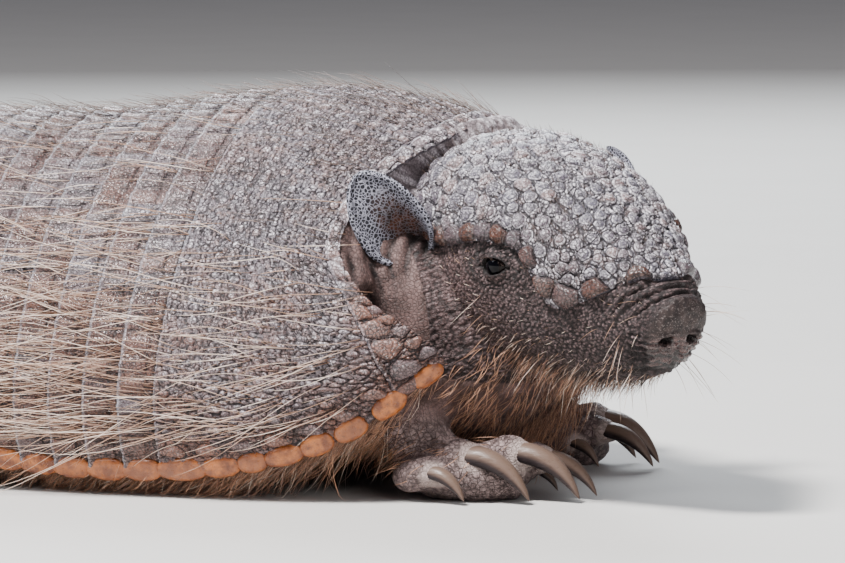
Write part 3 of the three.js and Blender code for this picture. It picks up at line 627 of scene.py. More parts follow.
def ear_point(side, t, v, offset):
    """A point of the ear's leaf in the head's axes: t up the ear, v across it."""
    root, axis, length, opens, across = ear_frame(side)
    flare = np.sin(np.pi * np.clip(t, 0, 1)) ** EAR_FLARE
    leaf = np.where(t < 0.5, EAR_ROOT_SHARE + (1 - EAR_ROOT_SHARE) * flare,
                    np.sqrt(np.maximum(1 - 0.995 * np.abs(2 * t - 1) ** 2.2, 1e-3)))
    spread = np.radians(smooth_curve(EAR_CURL_AT, EAR_CURL)(t))
    curl = spread * v
    radius = EAR_WIDTH * leaf / np.sin(np.minimum(spread, np.pi / 2))
    front = np.clip(-side * v, 0, 1)
    wave = 0.45 * np.sin(5 * t + 2 * v) * np.abs(v) ** 3 + 1.2 * bell(front - 0.72, 0.2) * (1 - t)
    bow = EAR_BOW * np.sin(np.pi * t) + radius - (radius + offset) * np.cos(curl) + wave
    up = length * (t * (1 + EAR_SUNK) - EAR_SUNK)
    return (root + axis * up[..., None]
            + across * ((radius + offset) * np.sin(curl))[..., None] + opens * bow[..., None])


def ear_part(side):
    """A thin cupped leaf; also says how far inside the cup each point is."""
    rows, columns = 64, 110
    t = np.linspace(0, 1, rows)[:, None] ** 0.9
    turn = np.linspace(0, 2 * np.pi, columns, endpoint=False)[None]
    v = signed_power(np.cos(turn), 0.8) * np.ones_like(t)
    thick = 0.5 * np.sqrt(np.abs(np.sin(turn))) + 0.12
    thick = thick + 1.6 * np.clip(1 - t / 0.25, 0, 1) ** 2
    thick = thick + 0.35 * bell(np.abs(v) - 0.9, 0.16)
    offset = -np.sign(np.sin(turn)) * thick
    points = ear_point(side, np.broadcast_to(t, v.shape), v, offset)
    middle = -0.15 * side
    inner = (ease(-0.1, 0.3, np.sin(turn)) * (1 - ease(0.25, 0.62, np.abs(v - middle)))
             * (1 - ease(0.5, 0.88, t)))
    if side < 0:
        points, inner = points[:, ::-1], inner[:, ::-1]
    points, triangles = closed_loft(points)
    return head_to_body(points), triangles, np.r_[np.broadcast_to(inner, v.shape).ravel(), 0, 0]


def ear_collar(side):
    """A short stem that joins an ear to the head."""
    root, axis, _, opens, _ = ear_frame(side)
    rows = [np.r_[root - axis * 10 + opens * 1, 6.5], np.r_[root - axis * 6 + opens * 1.5, 5.2],
            np.r_[root - axis * 3 + opens * 2, 3.6]]
    points, triangles = limb([tuple(r) for r in rows])
    return head_to_body(points), triangles


def tail_part():
    """The tail as one tapering limb."""
    return limb([(*s[:3], s[3] - 0.7) for s in TAIL], sides=40, steps=5)


# ---------------- folds, lids and masks


def eye_axes():
    """Forward, up and outwards of the right eye's socket, mirrored for the left."""
    out = unit(np.array([0.28, 0.95, 0.06]))
    forward = unit(np.array([0.95, -0.28, 0.0]))
    up = np.cross(out, forward)
    return forward, up * np.sign(up[2]), out


def shape_eye(points, side, crease):
    """Wraps the skin over the eyeball as two lids with an almond opening between them."""
    mirror = side_scale(side)
    forward, up, out = eye_axes()
    d = points * mirror - np.array(EYE_PLACE)
    a, b, c = d @ forward, d @ up, d @ out
    near = (lengths(d) < 16) & (c > -6)
    slant = b - 0.17 * a + 0.15
    rho = np.sqrt((a / 3.85) ** 2 + (slant / np.where(slant > 0, 2.45, 2.2)) ** 2) + 1e-6
    wide = np.sqrt((a / 8.6) ** 2 + (slant / 5.2) ** 2) + 0.07 * grain(points, 3.5, 5)
    ball = np.sqrt(np.maximum(EYE_RADIUS**2 - a**2 - b**2, 0))
    lid = np.sqrt(np.maximum((EYE_RADIUS + 0.7) ** 2 - a**2 - b**2, 0))
    tucked = np.minimum(c, ball - 1.0)
    weight = 1 - ease(1.1, 2.6, rho)
    raised = c + weight * (np.maximum(lid, c - 0.6) - c)
    raised += 0.55 * bell(wide - 0.72, 0.3) - 0.4 * bell(wide - 1.02, 0.07) * (0.5 + 0.5 * (b > 0))
    lines = np.zeros(len(points))
    for place, depth, share in ((1.3, 0.2, 1.0), (1.62, 0.34, 0.7), (1.95, 0.28, -0.6),
                                (2.3, 0.3, 0.4), (2.75, 0.24, -0.3)):
        here = np.clip(0.35 + share * slant / 2.5 + 0.8 * grain(points, 2.6, int(place * 100)), 0, 1)
        line = bell(rho - place + 0.09 * grain(points, 1.8, 9), 0.075) * here
        raised -= depth * line
        lines += line
    new = np.where(rho < 1, tucked, raised)
    blend = ease(1.0, 1.06, rho)
    new = np.where(rho < 1.06, tucked * (1 - blend) + raised * blend, new)
    corner = bell(slant + 0.2, 0.35) * ease(3.5, 4.1, np.abs(a)) * ease(6.7, 4.8, np.abs(a))
    new -= 0.5 * corner
    # Painted shade on the lids' rims, in the creases round them and in the eye's corners.
    crease += near * (0.75 * bell(wide - 1.02, 0.07) + 1.1 * bell(rho - 1.0, 0.16) + 0.7 * lines
                      + 1.1 * corner)
    return points + (out * mirror) * np.where(near, new - c, 0)[:, None]


MOUTH_X = [44, 52, 60, 68, 76, 83, 88, 92]
MOUTH_Z = [-24.5, -24.4, -23.2, -21.4, -18.9, -16.2, -14.2, -12.6]


def head_relief(points, normals, crease, scale):
    """Height in mm to add to the head's skin, in the head's axes; adds painted shade to the creases in
    folds, pits and gaps, and adds to the scales.
    """
    x, y, z = points.T
    side = np.abs(y)
    turn = head_turn(points)
    back = x - MUZZLE_RAKE * ease(MUZZLE_RAKE_FROM_X, HEAD_X[-1], x) * (z - head_middle(x))
    height = np.zeros(len(points))

    # Rings of folds behind the nose, strongest on top, with painted shade along their lines.
    top = ease(118, 45, turn)
    for place, depth, width in ((88.0, 0.8, 0.6), (85.4, 1.0, 0.7), (82.6, 0.85, 0.65),
                                (79.9, 0.6, 0.5), (77.4, 0.4, 0.45)):
        bent = back - place + 0.0006 * turn**2 + 0.5 * grain(points, 3.0, 3)
        line = bell(bent, width * 0.8) * top
        height += 0.55 * bell(bent + 1.3, 0.8) * top - 0.8 * depth * line
        crease += 0.45 * line * depth
    height += 0.8 * bell(back - 90.0, 2.0) * ease(150, 60, turn)

    # The nose's disc: nostrils, the groove between them, a wet and folded lower half; painted shade in the
    # nostrils, the groove and the folds' troughs.
    low = ease(79, 86, back) * ease(-2.0, -6.5, z)
    for s in (-1.0, 1.0):
        dx, dy, dz = x - 92.5, s * y - 4.2, z + 6.2
        slit = np.sqrt((dx / 4.6) ** 2 + ((dy - 0.25 * dz) / 2.5) ** 2 + ((dz + 0.35 * dy) / 1.6) ** 2)
        pit = 1 - ease(0.35, 1.05, slit)
        height -= 3.0 * pit
        height += 0.6 * bell(slit - 1.45, 0.35) * (x > 87) * ease(-7, -4, z)
        crease += 1.2 * (1 - ease(0.7, 1.1, slit))
    groove = bell(y, 0.6) * ease(87, 90, back) * ease(-1, -4, z)
    height -= 0.4 * groove
    crease += 0.5 * groove
    fold = np.sin(2 * np.pi * (z + 0.12 * side + 0.5 * grain(points, 2.4, 43)) / 1.9)
    height += low * (0.32 * fold + 0.45 * grain(points, 1.1, 45))
    # Painted shade in the lower folds' troughs and over the underside of the nose below about z -8.
    crease += low * (0.7 * ease(-0.1, -0.9, fold) + 0.4 * ease(-8, -11, z))
    height += 0.3 * grain(points, 1.3, 49) * ease(86, 90, back)

    # The mouth: a short line low under the muzzle, with the jaw behind and below it; the line gets painted
    # shade.
    gap = z - smooth_curve(MOUTH_X, MOUTH_Z)(x)
    along = ease(56, 68, x) * (normals[:, 2] < 0.6)
    height -= 0.9 * bell(gap, 0.5) * along
    height += along * (0.35 * bell(gap - 1.8, 1.2) - 0.8 * ease(-0.4, -2.5, gap) * ease(80, 88, x))
    crease += 1.0 * bell(gap, 0.6) * along

    # Cheek, the hollow before it and the folds behind it, with painted shade in the folds.
    height += 1.2 * bell((x - 26) / 13, 1) * bell((z + 12) / 10, 1) * (side > 12)
    height -= 0.8 * bell((x - 54) / 7, 1) * bell((z + 3) / 6, 1) * (side > 8)
    for place, depth in ((9.5, 0.8), (5.5, 0.7), (1.0, 0.8), (-4.0, 0.8), (13.5, 0.35)):
        bent = x - place + 1.5 * grain(points, 9.0, 7) + 0.12 * (z + 8)
        line = bell(bent, 0.55) * ease(4, -3, z) * ease(-27, -20, z)
        height -= depth * line
        crease += 0.6 * line
    # Small raised scales in slanting rows over muzzle and cheek, finer round the eye; painted shade in the
    # gaps between them and in the fan lines' troughs.
    fade = ease(8, 18, x) * ease(93, 86, back)
    slant = np.stack([x + 0.75 * z + 0.8 * grain(points, 5.0, 11),
                      0.75 * x - z + 0.8 * grain(points, 5.0, 12)], -1)
    gap_fine, dome, own = knobs(slant, length=1.55, width=1.25, seed=47)
    height += fade * (0.34 * dome**0.8 - 0.16 + 0.12 * own)
    scale += fade * dome
    crease += fade * 0.62 * ease(0.26, 0.02, gap_fine)
    fan = x + 0.5 * z + 2.0 * grain(points, 8.0, 13)
    line = np.sin(2 * np.pi * fan / 3.4) * ease(-0.3, 0.4, grain(points, 5.0, 15))
    height += 0.12 * line * fade
    crease += 0.4 * ease(-0.35, -0.95, line) * fade
    height += 0.12 * grain(points, 0.9, 23) * fade + 0.3 * grain(points, 4.5, 29)
    return height


def tail_coordinates(points):
    """Length along the tail, angle round it, its radius there and the distance from its line."""
    path = np.array(TAIL, float)
    reach = path_reach(path)
    fine = np.linspace(0, reach[-1], 260)
    dense = np.stack([smooth_curve(reach, path[:, k])(fine) for k in range(4)], -1)
    nearest = np.zeros(len(points), int)
    for i in range(0, len(points), 8000):
        gap = ((points[i:i + 8000, None] - dense[None, :, :3]) ** 2).sum(-1)
        nearest[i:i + 8000] = gap.argmin(1)
    away = points - dense[nearest, :3]
    return fine[nearest], np.arctan2(away[:, 1], away[:, 2]), dense[nearest, 3], lengths(away)


def tail_relief(points):
    """Rings of small scutes: height, and how near each point is to a groove."""
    s, angle, radius, _ = tail_coordinates(points)
    pitch = 4.3 - 0.008 * s
    ring = np.floor(s / pitch)
    along = s / pitch - ring
    count = np.maximum(np.round(2 * np.pi * radius / 4.0), 5)
    around = angle / (2 * np.pi) * count + 0.5 * (ring % 2)
    around -= np.floor(around)
    edge = np.minimum(np.minimum(along, 1 - along), np.minimum(around, 1 - around) * 0.9)
    dome = ease(0.02, 0.3, edge)
    return dome * (0.35 + 0.5 * along) - 0.25, 1 - ease(0.03, 0.16, edge)


def foot_distance(points, place):
    """Distance in the plane from the line along a foot."""
    away = points[:, :2] - np.array(place, float)
    away[:, 0] -= np.clip(away[:, 0], *FOOT_SPAN_X)
    return lengths(away)


def near_feet(points, height):
    """The points in and round the feet, below a height."""
    near = [foot_distance(points, place) < FOOT_REACH for place in LEG_PLACES.values()]
    return np.any(near, axis=0) & (points[:, 2] < height)


def nape_share(points):
    """1 on the nape between the shields, 0 elsewhere."""
    sheet = nape_sheet(0.0, NAPE_SHOWN).reshape(-1, 3)
    share = np.zeros(len(points))
    near = np.flatnonzero((points[:, 0] > 240) & (points[:, 2] > 55))
    for i in range(0, len(near), 4000):
        part = near[i:i + 4000]
        away = np.sqrt(((points[part][:, None] - sheet[None]) ** 2).sum(2).min(1))
        share[part] = ease(3.6, 2.0, away)
    return share


def on_face(points, rear_x):
    """The points of the face that the head shield leaves bare, ahead of a station of the head."""
    p = body_to_head(points)
    x, y, z = p.T
    bare = (head_turn(p) > BROW_AT(x) - 14) | (x > 78)
    return ((x > rear_x) & (np.abs(y) < HEAD_WIDTH_AT(x) + 6)
            & (z > HEAD_BOTTOM_AT(x) - 4) & (z < 30) & bare)


def skin_mesh(settings):
    """The union of the skin's bodies, smoothed, and refined where it carries fine relief."""
    parts = [trunk_part(settings), neck_part(settings), head_part(), tail_part(),
             ear_collar(-1.0), ear_collar(1.0), nape_part()]
    for kind, side in LEG_PLACES:
        parts += leg_parts(kind, side)
    points, triangles = remeshed(*joined(parts), settings.voxel / MM)
    x, y, z = body_to_head(points).T
    on_head = (x > 12) & (np.abs(y) < 34) & (np.abs(z) < 34)
    points = relax(points, triangles, np.where(on_head, 0.5, 1.0), 8)

    _, _, tail_radius, away = tail_coordinates(points)
    on_tail = (away < tail_radius + 1.5) & (points[:, 0] < 30)
    x, y, z = body_to_head(points).T
    neck = ((points[:, 0] > 240) & (points[:, 2] > 30) & (x > -25) & (x < 22)
            & (np.abs(y) > 24) & (z < 6))
    chosen = on_face(points, -6) | near_feet(points, 20) | on_tail | (nape_share(points) > 0) | neck
    points, triangles = refine(points, triangles, chosen)
    points = relax(points, triangles, np.full(len(points), 0.6), 4)
    # The face once more on the near side, and the rims of the eyes twice more.
    p = body_to_head(points)
    chosen = (p[:, 0] > 10) & (p[:, 1] < 12) & on_face(points, 10)
    chosen |= (eye_distance(p) < 11) & on_face(points, 20)
    points, triangles = refine(points, triangles, chosen)
    return refine(points, triangles, eye_distance(body_to_head(points)) < 6.8)


def feet_masks(points):
    """Shares of the feet and of the cuffs of skin round the claws' roots."""
    foot, cuff = np.zeros((2, len(points)))
    for (kind, side), place in LEG_PLACES.items():
        near = ease(22, 14, foot_distance(points, place)) * ease(26, 18, points[:, 2])
        foot = np.maximum(foot, near)
        for toe in TOES[kind]:
            rotation, root = claw_matrix(toe, side)
            local = (points - np.array([*place, 0.0]) - root) @ rotation
            ring = lengths(local * [0.9, 1, 1] - [1.6, 0, 0.4])
            cuff = np.maximum(cuff, ease(toe[2] / 2 + 2.2, toe[2] / 2 + 0.6, ring))
    return foot, cuff


def build_skin(settings):
    """The skin's points and triangles, raised by its folds and scales, and its colour masks."""
    points, triangles = skin_mesh(settings)
    count = len(points)
    normals = normals_of(points, triangles)

    # The face's relief is worked out in the head's axes.
    p = body_to_head(points)
    face = ease(-8, 2, p[:, 0]) * on_face(points, -20)
    n_head = normals @ HEAD_MATRIX
    crease, scale = np.zeros((2, count))
    height = head_relief(p, n_head, crease, scale)
    p = p + n_head * (height * face)[:, None]
    for _, side in SIDES:
        p = shape_eye(p, side, crease)
    points = np.where(face[:, None] > 0, head_to_body(p), points)
    crease *= face
    x, y, z = p.T

    _, _, tail_radius, away = tail_coordinates(points)
    tail = ease(tail_radius.max() + 4, tail_radius.max(), away)
    tail *= ease(34, 26, points[:, 0]) * (away < tail_radius + 2.5)
    tail_height, tail_groove = tail_relief(points)
    points += normals * (tail_height * tail)[:, None]
    # Painted shade in the grooves between the tail's scutes.
    crease += tail_groove * tail
    foot, cuff = feet_masks(points)

    # The nape's scales, and the folds of the neck beside and below it, with painted shade between the
    # knobs and in the folds' troughs.
    nape = nape_share(points)
    flat = np.stack([x, np.arctan2(y, z) * 30], -1)
    gap, dome, own = knobs(flat, length=3.3, width=2.7, seed=91)
    points += normals * ((0.55 * dome**0.7 + 0.2 * own - 0.2) * nape)[:, None]
    scale = np.maximum(scale * face, dome * nape)
    crease += 0.5 * ease(0.3, 0.02, gap) * nape
    neck = (ease(236, 250, points[:, 0]) * ease(20, 12, x) * ease(26, 38, points[:, 2])
            * (1 - nape) * ease(6, 0, z))
    bent = points[:, 0] - 3 * grain(points, 14.0, 31) + 0.15 * points[:, 2]
    fold = np.sin(2 * np.pi * bent / 3.4)
    points += normals * ((0.55 * fold + 0.35 * grain(points, 1.4, 93)) * neck)[:, None]
    crease += (0.8 * ease(-0.1, -0.9, fold) + 0.35 * ease(0.1, -0.5, grain(points, 1.2, 95))) * neck
    points += normals * (0.25 * grain(points, 3.0, 37) * (1 - face) * (1 - tail))[:, None]
    points[:, 2] = np.maximum(points[:, 2], SOLE_HEIGHT)

    nose = ease(88.6, 90.8, x - MUZZLE_RAKE * (z + 4)) * face
    cheek = bell((x - 20) / 22, 1) * ease(6, -2, z) * ease(-30, -14, z) * ease(-8, 4, x) * face * 0.6
    masks = {"crease": np.clip(crease, 0, 1.2), "scale": scale, "nose": nose,
             "wet": nose * ease(-3.5, -6.5, z), "cheek": cheek, "foot": foot, "cuff": cuff,
             "tail": tail, "face": face, "nape": nape, "ear": np.zeros(count),
             "inner": np.zeros(count)}
    for _, side in SIDES:
        ear_points, ear_triangles, inner = ear_part(side)
        triangles = np.concatenate([triangles, ear_triangles + len(points)])
        points = np.concatenate([points, ear_points])
        ear = {"ear": np.ones(len(inner)), "inner": inner}
        masks = {key: np.r_[values, ear.get(key, np.zeros(len(inner)))]
                 for key, values in masks.items()}
    return points, triangles, masks


# ---------------- the shell's plates


def power_cells(points, seeds, weights):
    """For each point its nearest seed and the distance to the line between it and the next."""
    first = np.zeros(len(points), int)
    border = np.zeros(len(points))
    squares = (seeds**2).sum(1) - weights**2
    for i in range(0, len(points), 6000):
        p = points[i:i + 6000]
        d = squares[None] - 2 * p @ seeds.T
        rows = np.arange(len(p))
        a = d.argmin(1)
        near = d[rows, a].copy()
        d[rows, a] = np.inf
        b = d.argmin(1)
        gap = lengths(seeds[a] - seeds[b])
        first[i:i + 6000] = a
        border[i:i + 6000] = (d[rows, b] - near) / (2 * gap)
    return first, border


def hashed(a, b, seed):
    """Random values from 0 to 1 for pairs of whole numbers."""
    h = (a + 5000).astype(np.uint64) * np.uint64(73856093) ^ (b + 5000).astype(np.uint64) * np.uint64(
        19349663) ^ np.uint64(seed * 83492791 + 12345)
    h = (h ^ h >> np.uint64(13)) * np.uint64(1274126177) & np.uint64(0xFFFFFFFF)
    return ((h ^ h >> np.uint64(16)) & np.uint64(0xFFFF)).astype(float) / 65535


def knobs(flat, length, width, seed, ragged=0.42):
    """A field of small knobs in staggered rows: distance to the gap, dome from 0 to 1, tone."""
    u, w = flat[..., 0] / length, flat[..., 1] / width
    row, column = np.floor(u).astype(int), np.floor(w).astype(int)
    best = np.full(u.shape, np.inf)
    nextbest = np.full(u.shape, np.inf)
    tone = np.zeros(u.shape)
    for i in (-1, 0, 1):
        for j in (-1, 0, 1):
            r = row + i
            c = column + j
            su = r + 0.5 + ragged * (2 * hashed(r, c, seed) - 1)
            sw = c + 0.5 * (r % 2) + 0.25 + ragged * (2 * hashed(r, c, seed + 1) - 1)
            own = hashed(r, c, seed + 2)
            d = (u - su) ** 2 + (w - sw) ** 2 + 0.2 * own
            closer = d < best
            nextbest = np.where(closer, best, np.minimum(nextbest, d))
            tone = np.where(closer, own, tone)
            best = np.where(closer, d, best)
    border = (nextbest - best) * 0.5 * min(length, width)
    return border, np.clip(1 - (best - 0.2 * tone) / 0.3, 0, 1), tone


def scute_relief(flat, seeds, sizes, long_share, rng, knob=(2.1, 1.5), middle_share=0.42):
    """Height and colour masks of a field of scutes.

    Each scute has a raised middle, longer than wide, amid small knobs. flat holds the points
    unrolled to (back, across) millimetres, and sizes each scute's half width.
    """
    first, border = power_cells(flat, seeds, sizes * 0.6)
    tone = rng.random(len(seeds))
    phase = rng.random(len(seeds)) * 2 * np.pi
    away = flat - seeds[first]
    size = sizes[first]
    ratio = np.sqrt((away[:, 0] / (size * middle_share * 1.2 * long_share)) ** 2
                    + (away[:, 1] / (size * middle_share)) ** 2)
    ratio = ratio * (1 + 0.13 * np.sin(3 * np.arctan2(away[:, 1], away[:, 0]) + phase[first]))
    gap, dome, own = knobs(flat, *knob, int(rng.integers(1000)))
    middle = ratio < 1
    rim = np.abs(ratio - 1) * size * middle_share
    fine = np.where(middle, rim, np.minimum(gap * 1.4, rim))
    top = np.where(middle, np.clip(1.3 * (1 - ratio**2), 0, 1), 0.75 * dome)
    height = 0.3 * ease(0.0, 0.7, border) + 0.45 * ease(0.0, 0.4, fine) + 0.32 * top
    turn = np.arctan2(-away[:, 1] * np.sign(flat[:, 1]), away[:, 0])
    tilt = 0.09 * away[:, 0] * np.cos(phase[first]) + 0.1 * away[:, 1] * np.sin(phase[first])
    height += tilt * middle
    # The crown is kept on one side of each scute and dimmed on the other: painted highlight on the side
    # that faces the light.
    top = top * (0.3 + 0.7 * np.clip(0.5 + 0.5 * np.sin(turn + 0.6 * np.sin(phase[first])), 0, 1))
    height += 0.26 * np.where(middle, tone[first] - 0.5, own - 0.5)
    return height - 0.75, border, fine, np.where(middle, tone[first], own), top


def plate_grid(rear, front, rows, columns):
    """Points over a plate, with lengths back and across in millimetres."""
    t = np.linspace(0, 1, rows)[:, None]
    v = np.linspace(-1, 1, columns)[None]
    x = rear(v) + GAP / 2 + (front(v) - rear(v) - GAP) * t
    points = shell_point(x, np.broadcast_to(v, x.shape), STEP_HEIGHT * (1 - t) * np.ones_like(x))
    along = lengths(np.diff(points, axis=0))
    along = np.concatenate([np.zeros((1, columns)), np.cumsum(along, 0)])
    across = lengths(np.diff(points, axis=1))
    across = np.concatenate([np.zeros((rows, 1)), np.cumsum(across, 1)], 1)
    return points, along, across


def grid_normals(points):
    """Directions across a grid of points, out of the plate's face."""
    return unit(np.cross(np.gradient(points, axis=0), np.gradient(points, axis=1)))


def plate_mesh(points, height, masks, depth=PLATE_DEPTH):
    """A plate from its displaced outer grid: edges roll over to a plain inner face."""
    normals = grid_normals(points)
    outer = points + normals * height[..., None]
    rows, columns = height.shape
    ring = np.r_[np.arange(columns), np.arange(1, rows) * columns + columns - 1,
                 (rows - 1) * columns + np.arange(columns - 2, -1, -1),
                 np.arange(rows - 2, 0, -1) * columns]
    flat_outer = outer.reshape(-1, 3)
    flat_normals = normals.reshape(-1, 3)[ring]
    base = points.reshape(-1, 3)[ring]
    rims = [base + (flat_outer[ring] - base) * 0.2 - flat_normals * depth * 0.4,
            base - flat_normals * depth]
    quads = [grid_faces(rows, columns)]
    count = len(flat_outer)
    loop = np.arange(len(ring))
    nxt = (loop + 1) % len(ring)
    levels = [ring, count + loop, count + len(ring) + loop]
    for low, high in zip(levels[:-1], levels[1:]):
        quads.append(np.stack([low[nxt], low[loop], high[loop], high[nxt]], 1))
    pick_r = np.unique(np.r_[np.arange(0, rows, max(1, rows // 12)), rows - 1])
    pick_c = np.unique(np.r_[np.arange(0, columns, max(1, columns // 60)), columns - 1])
    inner = (points - normals * depth)[np.ix_(pick_r, pick_c)]
    quads.append(grid_faces(len(pick_r), len(pick_c), start=count + 2 * len(ring))[:, ::-1])
    everything = np.concatenate([flat_outer, *rims, inner.reshape(-1, 3)])
    extra = len(everything) - count
    out = {key: np.r_[value.ravel(), np.full(extra, 1.0 if key in ("fine", "border") else 0.0)]
           for key, value in masks.items()}
    faces = np.concatenate(quads)
    a, b, c = (everything[faces[0, k]] for k in range(3))
    if np.dot(np.cross(b - a, c - a), normals[0, 0]) < 0:
        faces = faces[:, ::-1]
    return everything, faces, out


def warmth(points, across_share):
    """How brown and pinkish the horn is: towards the hem, and more so towards the rear."""
    low = ease(0.45, 0.95, np.abs(across_share))
    rear = ease(225, 150, points[..., 0])
    patch = 0.5 + 0.5 * grain(points, 9.0, 41)
    return np.clip(0.05 + 0.45 * low + 0.35 * rear * (0.4 + low) + 0.7 * (patch - 0.35), 0, 1)


def band_plate(index):
    """One movable band: a row of long scutes with keels, its rear edge standing proud."""
    rng = np.random.default_rng(100 + index)
    front = SCAPULAR_REAR_X - index * BAND_PITCH
    count, rows, columns = BAND_SCUTES, BAND_ROWS, BAND_SCUTES * BAND_POINTS_PER_SCUTE + 1
    points, along, across = plate_grid(lambda v: np.full_like(v, front - BAND_PITCH),
                                       lambda v: np.full_like(v, front), rows, columns)
    length = along[-1].mean()
    middle = across[:, columns // 2][:, None]
    total = across[:, -1:]
    cell = across / total * count
    number = np.clip(np.floor(cell), 0, count - 1).astype(int)
    q = (cell - number) * 2 - 1
    width = total / count
    s = along / along[-1:] * length
    tone = rng.random(count)[number]
    shift = rng.normal(0, 0.4, count)[number]
    lean = rng.normal(0, 0.16, count)[number]
    # The scute proper is a long oval, round at the rear; small figures fill in beside it.
    reach = length * 0.74 + shift
    oval = np.abs(q - lean * (s / reach - 0.5)) / np.sqrt(
        np.clip(1 - 0.85 * (np.abs(s / reach - 0.5) * 2) ** 4, 0.02, 1)) / 0.72
    seam = np.abs(s - reach)
    body = s < reach
    flat = np.stack([s, across], -1)
    gap, dome, _ = knobs(flat, length=1.7, width=1.25, seed=200 + index)
    inside = (oval < 1) & body
    rim = np.abs(oval - 1) * width * 0.36
    ridges = 0.5 + 0.5 * np.sin(2 * np.pi * (q * 1.6 + 0.3 * grain(points, 5.0, 63)) + tone * 6)
    top = np.where(inside, np.clip(1 - oval**2, 0, 1) ** 0.6 * (0.6 + 0.4 * ridges), 0.6 * dome)
    fine = np.where(inside, rim, np.minimum(gap * 1.3 + 0.1, rim))
    fine = np.minimum(fine, seam * 0.8)
    # The border closes to nothing at the band's front end, which paints that strip dark: painted shadow
    # under the previous band's proud rear edge.
    border = np.minimum((1 - np.abs(q)) * width / 2 + 0.1, 0.35 * (length - s))
    height = np.where(inside, 0.3 + 0.55 * top, 0.28 * ease(0, 0.5, gap) + 0.2 * dome)
    height = np.where(body, height, 0.45 * height)
    height += 0.1 * grain(points, 0.9, 65) - 0.25 * bell(seam, 0.4) + 0.1 * (tone - 0.5)
    height -= 0.45 * (1 - ease(0, 0.8, s)) - 0.5 * ease(0.3 * length, 0, s)
    share = (across - middle) / (total / 2)
    warm = np.clip(0.25 + warmth(points, share) + 0.3 * (tone - 0.5), 0, 1)
    lip = bell(s - 0.35, 0.5)
    masks = {"border": border, "fine": np.where(s < 0.8, 1.0, fine), "tone": tone, "warm": warm,
             "crown": top * (s > 0.8), "edge": lip}
    return plate_mesh(points, height - 0.55, masks)


def staggered_seeds(along, across, pitch, spacing, rng):
    """Rows of scute middles over a plate unrolled to (back, across)."""
    length = along[-1].mean()
    rows = max(2, round(length / pitch))
    seeds, sizes = [], []
    for r in range(rows):
        share = (r + 0.5) / rows
        at = min(int(share * (along.shape[0] - 1)), along.shape[0] - 1)
        girth = across[at, -1]
        count = max(4, round(girth / spacing))
        c = np.arange(count + (r % 2)) + 0.5 - 0.5 * (r % 2)
        seeds.append(np.stack([np.full(len(c), share * length) + rng.normal(0, pitch * 0.09, len(c)),
                               (c / count - 0.5) * girth + rng.normal(0, spacing * 0.09, len(c))], 1))
        sizes.append(spacing / 2 * rng.uniform(0.8, 1.1, len(c)))
    return np.concatenate(seeds), np.concatenate(sizes)


def shield_plate(rear, front, cell, pitch, spacing, seed):
    """A fixed shield: rows of scutes over its whole face, larger along the hem."""
    rng = np.random.default_rng(seed)
    _, along, across = plate_grid(rear, front, 40, 181)
    rows = int(along[-1].max() / cell) + 1
    columns = int(across.max() / cell) + 1
    points, along, across = plate_grid(rear, front, rows, columns)
    length = along[-1].mean()
    total = across[:, -1:]
    middle = across - total / 2
    flat = np.stack([along / along[-1:] * length, middle], -1)
    seeds, half = staggered_seeds(along, across, pitch, spacing, rng)
    # The row above the hem has larger scutes.
    girth = np.interp(seeds[:, 0], np.linspace(0, length, rows), across[:, -1])
    keep = np.abs(seeds[:, 1]) < girth / 2 - 11.5
    seeds, half = seeds[keep], half[keep]
    for s in (-1.0, 1.0):
        number = max(2, round(length / 7.6))
        back = (np.arange(number) + 0.5) / number * length
        g = np.interp(back, np.linspace(0, length, rows), across[:, -1]) / 2
        seeds = np.concatenate([seeds, np.stack([back, s * (g - 7.6)], 1)])
        half = np.r_[half, np.full(number, 4.6)]
    fields = scute_relief(flat.reshape(-1, 2), seeds, half, pitch / spacing * 1.2, rng)
    height, border, fine, tone, crown = (a.reshape(along.shape) for a in fields)
    share = middle / (total / 2)
    near_hem = ease(12.5, 9.5, total / 2 - np.abs(middle))
    warm = np.clip(warmth(points, share) + 0.35 * near_hem, 0, 1)
    height = height + 0.3 * near_hem * crown + 0.08 * grain(points, 0.8, 67)
    height -= 0.6 * (1 - ease(0, 0.9, along)) + 0.4 * (1 - ease(0, 0.6, total / 2 - np.abs(middle)))
    masks = {"border": border, "fine": np.where(along < 0.9, 1.0, fine), "tone": tone,
             "warm": warm, "crown": crown, "edge": bell(along - 0.35, 0.45)}
    return plate_mesh(points, height, masks)


def nuchal_plate():
    """The short band behind the head: one row of large scutes and a row of small ones."""
    rng = np.random.default_rng(61)
    rear, front = edge_curve(SHIELD_FRONT_X), edge_curve(NECK_BAND_FRONT_X)
    _, along, across = plate_grid(rear, front, 10, 181)
    columns = int(across.max() / 0.42) + 1
    points, along, across = plate_grid(rear, front, 31, columns)
    total = across[:, -1:]
    middle = across - total / 2
    length = along[-1][None]
    flat = np.stack([along, middle], -1).reshape(-1, 2)
    seeds, half = [], []
    girth = across[0, -1]
    for share, size, number in ((0.36, 4.0, 38), (0.86, 2.4, 56)):
        c = (np.arange(number) + 0.5) / number - 0.5
        reach = np.interp(c * girth, middle[0], length[0])
        seeds.append(np.stack([share * reach, c * girth + rng.normal(0, 0.3, number)], 1))
        half.append(np.full(number, size))
    fields = scute_relief(flat, np.concatenate(seeds), np.concatenate(half), 1.2, rng,
                          knob=(1.5, 1.2), middle_share=0.78)
    height, border, fine, tone, crown = (a.reshape(along.shape) for a in fields)
    height = height + 0.35 * crown - 0.6 * (1 - ease(0, 0.8, along))
    warm = warmth(points, middle / (total / 2)) + 0.3 * ease(0.45, 0.75, np.abs(middle) / total * 2)
    masks = {"border": border, "fine": fine, "tone": tone, "warm": np.clip(warm, 0, 1),
             "crown": crown, "edge": bell(along - 0.3, 0.4)}
    return plate_mesh(points, height, masks, depth=0.7)


def edge_curve(values):
    """A plate's front or rear edge: station against place across, the same on both sides."""
    curve = smooth_curve(EDGE_AT, values)
    return lambda v: curve(np.abs(v))


